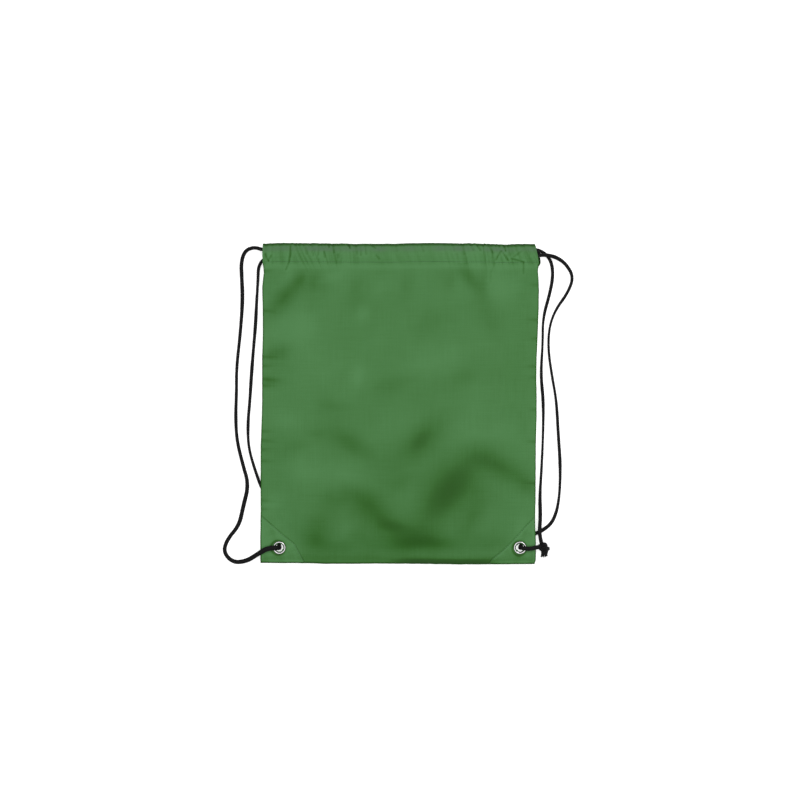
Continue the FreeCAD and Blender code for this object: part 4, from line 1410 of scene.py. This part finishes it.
# Width of each cord from its casing to its knot: distance along it and share of the full width.
LEFT_OUTER_WIDTHS = [
    (0.00, 0.92), (0.03, 0.98), (0.05, 1.02), (0.11, 1.02), (0.14, 0.86), (0.18, 0.82), (0.24, 0.82),
    (0.26, 0.95), (0.28, 0.86), (0.31, 0.90), (0.34, 1.00), (0.37, 1.10), (0.41, 1.06), (0.45, 1.06),
    (0.48, 1.20), (0.53, 1.24), (0.55, 0.95), (0.58, 0.90),
]
LEFT_INNER_WIDTHS = [
    (0.00, 0.90), (0.04, 0.80), (0.06, 0.72), (0.08, 0.88), (0.10, 0.92), (0.14, 0.80), (0.16, 0.94),
    (0.20, 0.82), (0.24, 0.84), (0.25, 0.70), (0.30, 0.78), (0.36, 0.90),
]
RIGHT_OUTER_WIDTHS = [
    (0.00, 0.90), (0.04, 1.04), (0.06, 0.92), (0.08, 0.80), (0.11, 0.80), (0.14, 0.62), (0.16, 0.64),
    (0.20, 0.68), (0.24, 0.68), (0.27, 0.80), (0.30, 0.82), (0.33, 0.90), (0.35, 0.76), (0.37, 0.66),
    (0.39, 0.82), (0.41, 0.98), (0.44, 1.00), (0.47, 1.10), (0.50, 1.10),
]
RIGHT_INNER_WIDTHS = [
    (0.00, 0.85), (0.05, 0.90), (0.07, 0.86), (0.10, 0.86), (0.12, 0.66), (0.15, 0.60), (0.18, 0.74),
    (0.20, 0.86), (0.23, 0.86), (0.25, 0.66), (0.28, 0.62), (0.33, 0.72), (0.36, 0.95), (0.42, 1.05),
]


CORD_DIAMETER = 0.0046


class BAG_OT_cords(bpy.types.Operator):
    """The free stretches of both cords, each from its casing to its knot"""

    bl_idname = "bag.cords"
    bl_label = "Cords"

    def execute(self, context):
        cords = context.scene.bag_cords
        for name, route, side, leaves, widths in (
            ("left_cord_outer", LEFT_OUTER, -1, (-0.181, 0.2020, 0.0139), LEFT_OUTER_WIDTHS),
            ("left_cord_inner", LEFT_INNER, -1, (-0.181, 0.1905, 0.0036), LEFT_INNER_WIDTHS),
            ("right_cord_outer", RIGHT_OUTER, 1, (0.181, 0.1945, 0.0139), RIGHT_OUTER_WIDTHS),
            ("right_cord_inner", RIGHT_INNER, 1, (0.181, 0.2035, 0.0038), RIGHT_INNER_WIDTHS),
        ):
            piece, points, total = cord_piece(name + "_braid", route, cords, 60 + len(name) + side, widths)
            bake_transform(piece)
            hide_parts(name)
        return {"FINISHED"}


def leg_piece(node, part, side, body, seed, cords):
    """A cord inside its casing: side 0 is all of it, and -1 or 1 the half on that side of the front."""
    middle = (low(node) + high(node)) / 2.0
    ends = (-TUNNEL_REACH, TUNNEL_REACH) if side == 0 else (0.0, side * TUNNEL_REACH)
    x = spaced(min(ends), max(ends), 2.0 * cords.ring_step)
    points = np.stack([x, np.full(len(x), middle[1]), np.full(len(x), middle[2])], -1)
    along = x - x[0]
    half = np.full(len(x), cords.section / 2.0)
    twist = math.radians(20.0) * ripple(along, 0.05, seed + side)
    mesh = braid_mesh(f"{node}_{part}", points, along, half, 0.92 * half, twist, cords)
    piece = add_piece(mesh, cord_material(cords))
    if side == 0:
        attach(piece, body)
    else:
        follow_front(piece)
    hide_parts(node)


def bight_piece(word, body, seed, cords):
    """The turn where a cord goes from the front casing to the back one."""
    node = f"{word}_cord_bight"
    front = (low(f"{word}_cord_front_leg") + high(f"{word}_cord_front_leg")) / 2.0
    back = (low(f"{word}_cord_back_leg") + high(f"{word}_cord_back_leg")) / 2.0
    end = 1.0 if word == "left" else -1.0
    turn_at = high(node)[0] - CORD_DIAMETER / 2.0 if end > 0 else low(node)[0] + CORD_DIAMETER / 2.0
    route = [
        (end * (TUNNEL_REACH + 0.0003), front[1], front[2]), (turn_at, front[1], front[2]),
        (turn_at, back[1], back[2]), (end * TUNNEL_REACH, back[1], back[2]),
    ]
    piece, points, total = cord_piece(f"{word}_cord_bight_braid", route, cords, seed + 5)
    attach(piece, body)
    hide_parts(node)


class BAG_OT_legs(bpy.types.Operator):
    """The cords inside the casings, and the turns where each goes from one casing to the other"""

    bl_idname = "bag.legs"
    bl_label = "Cords in the casings"

    def execute(self, context):
        cords = context.scene.bag_cords
        for word, seed in (("left", 80), ("right", 90)):
            body = f"{word}_cord_in_back_casing"
            for layer, part, side in (("front", "left", -1), ("front", "right", 1), ("back", "whole", 0)):
                leg_piece(f"{word}_cord_{layer}_leg", part, side, body, seed, cords)
            bight_piece(word, body, seed, cords)
        return {"FINISHED"}


def overhand(centre, turn, half_long, half_wide, tall, cords, name):
    """An overhand knot pulled tight: a trefoil line squeezed into an oblong, braided all along."""
    t = 2.0 * math.pi * np.arange(360) / 360
    radius = 0.45 * cords.section
    x = (np.sin(t) + 2.0 * np.sin(2.0 * t)) / 2.8 * (half_wide - radius)
    y = (np.cos(t) - 2.0 * np.cos(2.0 * t)) / 3.0 * (half_long - radius)
    z = tall / 2.0 + 0.0001 - np.sin(3.0 * t) * (tall / 2.0 - radius)
    c, s = math.cos(math.radians(turn)), math.sin(math.radians(turn))
    line = np.stack([centre[0] + c * x - s * y, centre[1] + s * x + c * y, z], -1)
    points, along = even_rings(line, cords.ring_step, closed=True)
    half = np.full(len(points), cords.section / 2.0)
    return braid_mesh(name, points, along, half, 0.9 * half, np.zeros(len(points)), cords, closed=True)


def knot_heart(name, centre, turn, half_wide, tall, cords):
    """The strands inside a knot: a braided, slightly lumpy oblong that fills its turns."""
    u = spaced(-1.0, 1.0, 0.02)
    lean = math.radians(turn)
    along = 0.0078 * u
    points = np.stack([
        centre[0] - along * math.sin(lean), centre[1] + along * math.cos(lean),
        np.full(len(u), tall / 2.0),
    ], -1)
    round_off = np.sqrt(np.maximum(1.0 - u ** 4, 0.02)) * (1.0 + 0.10 * np.sin(9.0 * u + 1.0))
    half_width, half_height = (half_wide - 0.0012) * round_off, (tall / 2.0 - 0.0012) * round_off
    return braid_mesh(name, points, along - along[0], half_width, half_height, 0.5 * u, cords)


def knot_tail(name, middle, tip, cords):
    """A short end of cord from a knot's middle to its tip."""
    route = [tuple(middle), tuple(middle * 0.6 + tip * 0.4), tuple(tip)]
    points, along = even_rings(smooth_line(route), cords.ring_step)
    half = np.full(len(points), 1.15 * cords.section / 2.0) * (1.0 - 0.12 * along / along[-1])
    return braid_mesh(name, points, along, half, 0.85 * half, np.zeros(len(points)), cords)


FIBRES = 46
FIBRE_RADIUS = 0.00026


def frayed_end(name, middle, tip, random):
    """Loose fibres at a tail's tip, which spread and droop."""
    out = (tip - middle) / np.linalg.norm(tip - middle)
    spread = random.normal(size=(FIBRES, 3))
    spread -= (spread @ out)[:, None] * out
    spread /= np.linalg.norm(spread, axis=1)[:, None]
    ring = random.uniform(0.0, 1.0, (FIBRES, 1)) ** 0.5
    roots = tip - 0.0004 * out + spread * ring * 0.0019
    tips = roots + out * random.uniform(0.0012, 0.0036, (FIBRES, 1)) + spread * 0.0009
    tips[:, 2] = np.maximum(tips[:, 2] - 0.0006, 0.0004)
    bow = random.normal(size=(FIBRES, 3)) * 0.0002
    return fibre_mesh(name, roots, tips, bow, FIBRE_RADIUS)


# Each knot: its centre, turn in degrees, half width, thickness, and its tails' tips from its centre.
KNOTS = {
    "left": (LEFT_KNOT, 8.0, 0.0050, 0.0090, [(0.0075, -0.0115, 0.0034), (0.0110, -0.0035, 0.0030)]),
    "right": (RIGHT_KNOT, 22.0, 0.0064, 0.0112, [
        (-0.0012, -0.0100, 0.0032), (0.0034, -0.0094, 0.0030), (0.0062, -0.0006, 0.0040),
    ]),
}
KNOT_HALF_LENGTH = 0.0092


class BAG_OT_knots(bpy.types.Operator):
    """The overhand knots that end both cords, with their frayed tails"""

    bl_idname = "bag.knots"
    bl_label = "Knots"

    def execute(self, context):
        cords = context.scene.bag_cords
        for word, (centre, turn, half_wide, tall, tails) in KNOTS.items():
            knot = overhand(centre, turn, KNOT_HALF_LENGTH, half_wide, tall, cords, f"{word}_cord_knot")
            meshes = [knot, knot_heart(f"{word}_knot_heart", centre, turn, half_wide, tall, cords)]
            random = np.random.default_rng(7)
            middle = np.array([centre[0], centre[1], tall / 2.0])
            for number, (dx, dy, z) in enumerate(tails):
                tip = np.array([centre[0] + dx, centre[1] + dy, z])
                meshes.append(knot_tail(f"{word}_tail_{number}", middle, tip, cords))
                meshes.append(frayed_end(f"{word}_fray_{number}", middle, tip, random))
            for mesh in meshes:
                piece = add_piece(mesh, cord_material(cords))
                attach(piece, "back")
                if mesh == knot:
                    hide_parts(f"{word}_knot")
        return {"FINISHED"}


class BAG_OT_stage(bpy.types.Operator):
    """Pale floor, soft lights and the camera above"""

    bl_idname = "bag.stage"
    bl_label = "Stage"

    def execute(self, context):
        stage = context.scene.bag_stage
        reach = 6.0
        corners = [(x * reach, y * reach, -0.0002) for x, y in ((-1, -1), (1, -1), (1, 1), (-1, 1))]
        mesh = new_mesh("floor", corners, [[0, 1, 2, 3]], smooth=False)
        material, _, shader = new_material("pale floor")
        shader.inputs["Base Color"].default_value = (0.93, 0.93, 0.93, 1.0)
        shader.inputs["Roughness"].default_value = 0.9
        shader.inputs["Specular IOR Level"].default_value = 0.1
        shader.inputs["Emission Color"].default_value = (1.0, 1.0, 1.0, 1.0)
        shader.inputs["Emission Strength"].default_value = 0.5
        add_piece(mesh, material)

        world = bpy.data.worlds.new("pale surround")
        world.use_nodes = True
        background = world.node_tree.nodes["Background"]
        background.inputs["Color"].default_value = (1.0, 1.0, 1.0, 1.0)
        background.inputs["Strength"].default_value = stage.sky
        context.scene.world = world

        for name, size, power, place in (
            ("overhead", 5.0, stage.overhead_power, (0.0, 0.0, 4.5)),
            ("key", 0.9, stage.key_power, (1.3, 1.5, 2.6)),
        ):
            light = bpy.data.lights.new(name, "AREA")
            light.shape, light.size, light.energy = "SQUARE", size, power
            lamp = bpy.data.objects.new(name, light)
            lamp.location = place
            across = math.hypot(place[0], place[1])
            heading = math.atan2(place[1], place[0]) + math.pi / 2.0 if across else 0.0
            lamp.rotation_euler = (math.atan2(across, place[2]), 0.0, heading)
            context.collection.objects.link(lamp)

        camera = bpy.data.cameras.new("camera")
        camera.sensor_width = 36.0
        camera.lens = camera.sensor_width * stage.camera_height / stage.view_width
        camera.clip_end = 50.0
        holder = bpy.data.objects.new("camera", camera)
        holder.location = (0.0004, 0.0050, stage.camera_height + 0.009)
        context.collection.objects.link(holder)
        context.scene.camera = holder
        context.scene.view_settings.view_transform = "Standard"
        return {"FINISHED"}


STEPS = (
    BAG_OT_stage, BAG_OT_knots, BAG_OT_cords, BAG_OT_legs, BAG_OT_seams, BAG_OT_back,
    BAG_OT_front, BAG_OT_patches, BAG_OT_stitching, BAG_OT_eyelets,
)
SETTINGS = (ClothSettings, CordSettings, StageSettings)


class BAG_PT_panel(bpy.types.Panel):
    """Lists the bag's steps and settings"""

    bl_idname = "BAG_PT_panel"
    bl_label = "Drawstring Backpack"
    bl_space_type = "VIEW_3D"
    bl_region_type = "UI"
    bl_category = "Backpack"

    def draw(self, context):
        for group in (context.scene.bag_cloth, context.scene.bag_cords, context.scene.bag_stage):
            box = self.layout.box()
            for name in group.bl_rna.properties.keys():
                if name not in ("rna_type", "name"):
                    box.prop(group, name)
        for step in STEPS:
            self.layout.operator(step.bl_idname)


def register():
    """Adds the classes and hangs their settings on the scene."""
    for kind in SETTINGS + STEPS + (BAG_PT_panel,):
        bpy.utils.register_class(kind)
    bpy.types.Scene.bag_cloth = bpy.props.PointerProperty(type=ClothSettings)
    bpy.types.Scene.bag_cords = bpy.props.PointerProperty(type=CordSettings)
    bpy.types.Scene.bag_stage = bpy.props.PointerProperty(type=StageSettings)


def unregister():
    """Takes away what register added."""
    del bpy.types.Scene.bag_stage
    del bpy.types.Scene.bag_cords
    del bpy.types.Scene.bag_cloth
    for kind in reversed(SETTINGS + STEPS + (BAG_PT_panel,)):
        bpy.utils.unregister_class(kind)


def main():
    """Makes every piece in order."""
    register()
    bpy.ops.bag.stage()
    bpy.ops.bag.knots()
    bpy.ops.bag.cords()
    bpy.ops.bag.legs()
    bpy.ops.bag.seams()
    bpy.ops.bag.back()
    bpy.ops.bag.front()
    bpy.ops.bag.patches()
    bpy.ops.bag.stitching()
    bpy.ops.bag.eyelets()


if __name__ == "__main__":
    main()
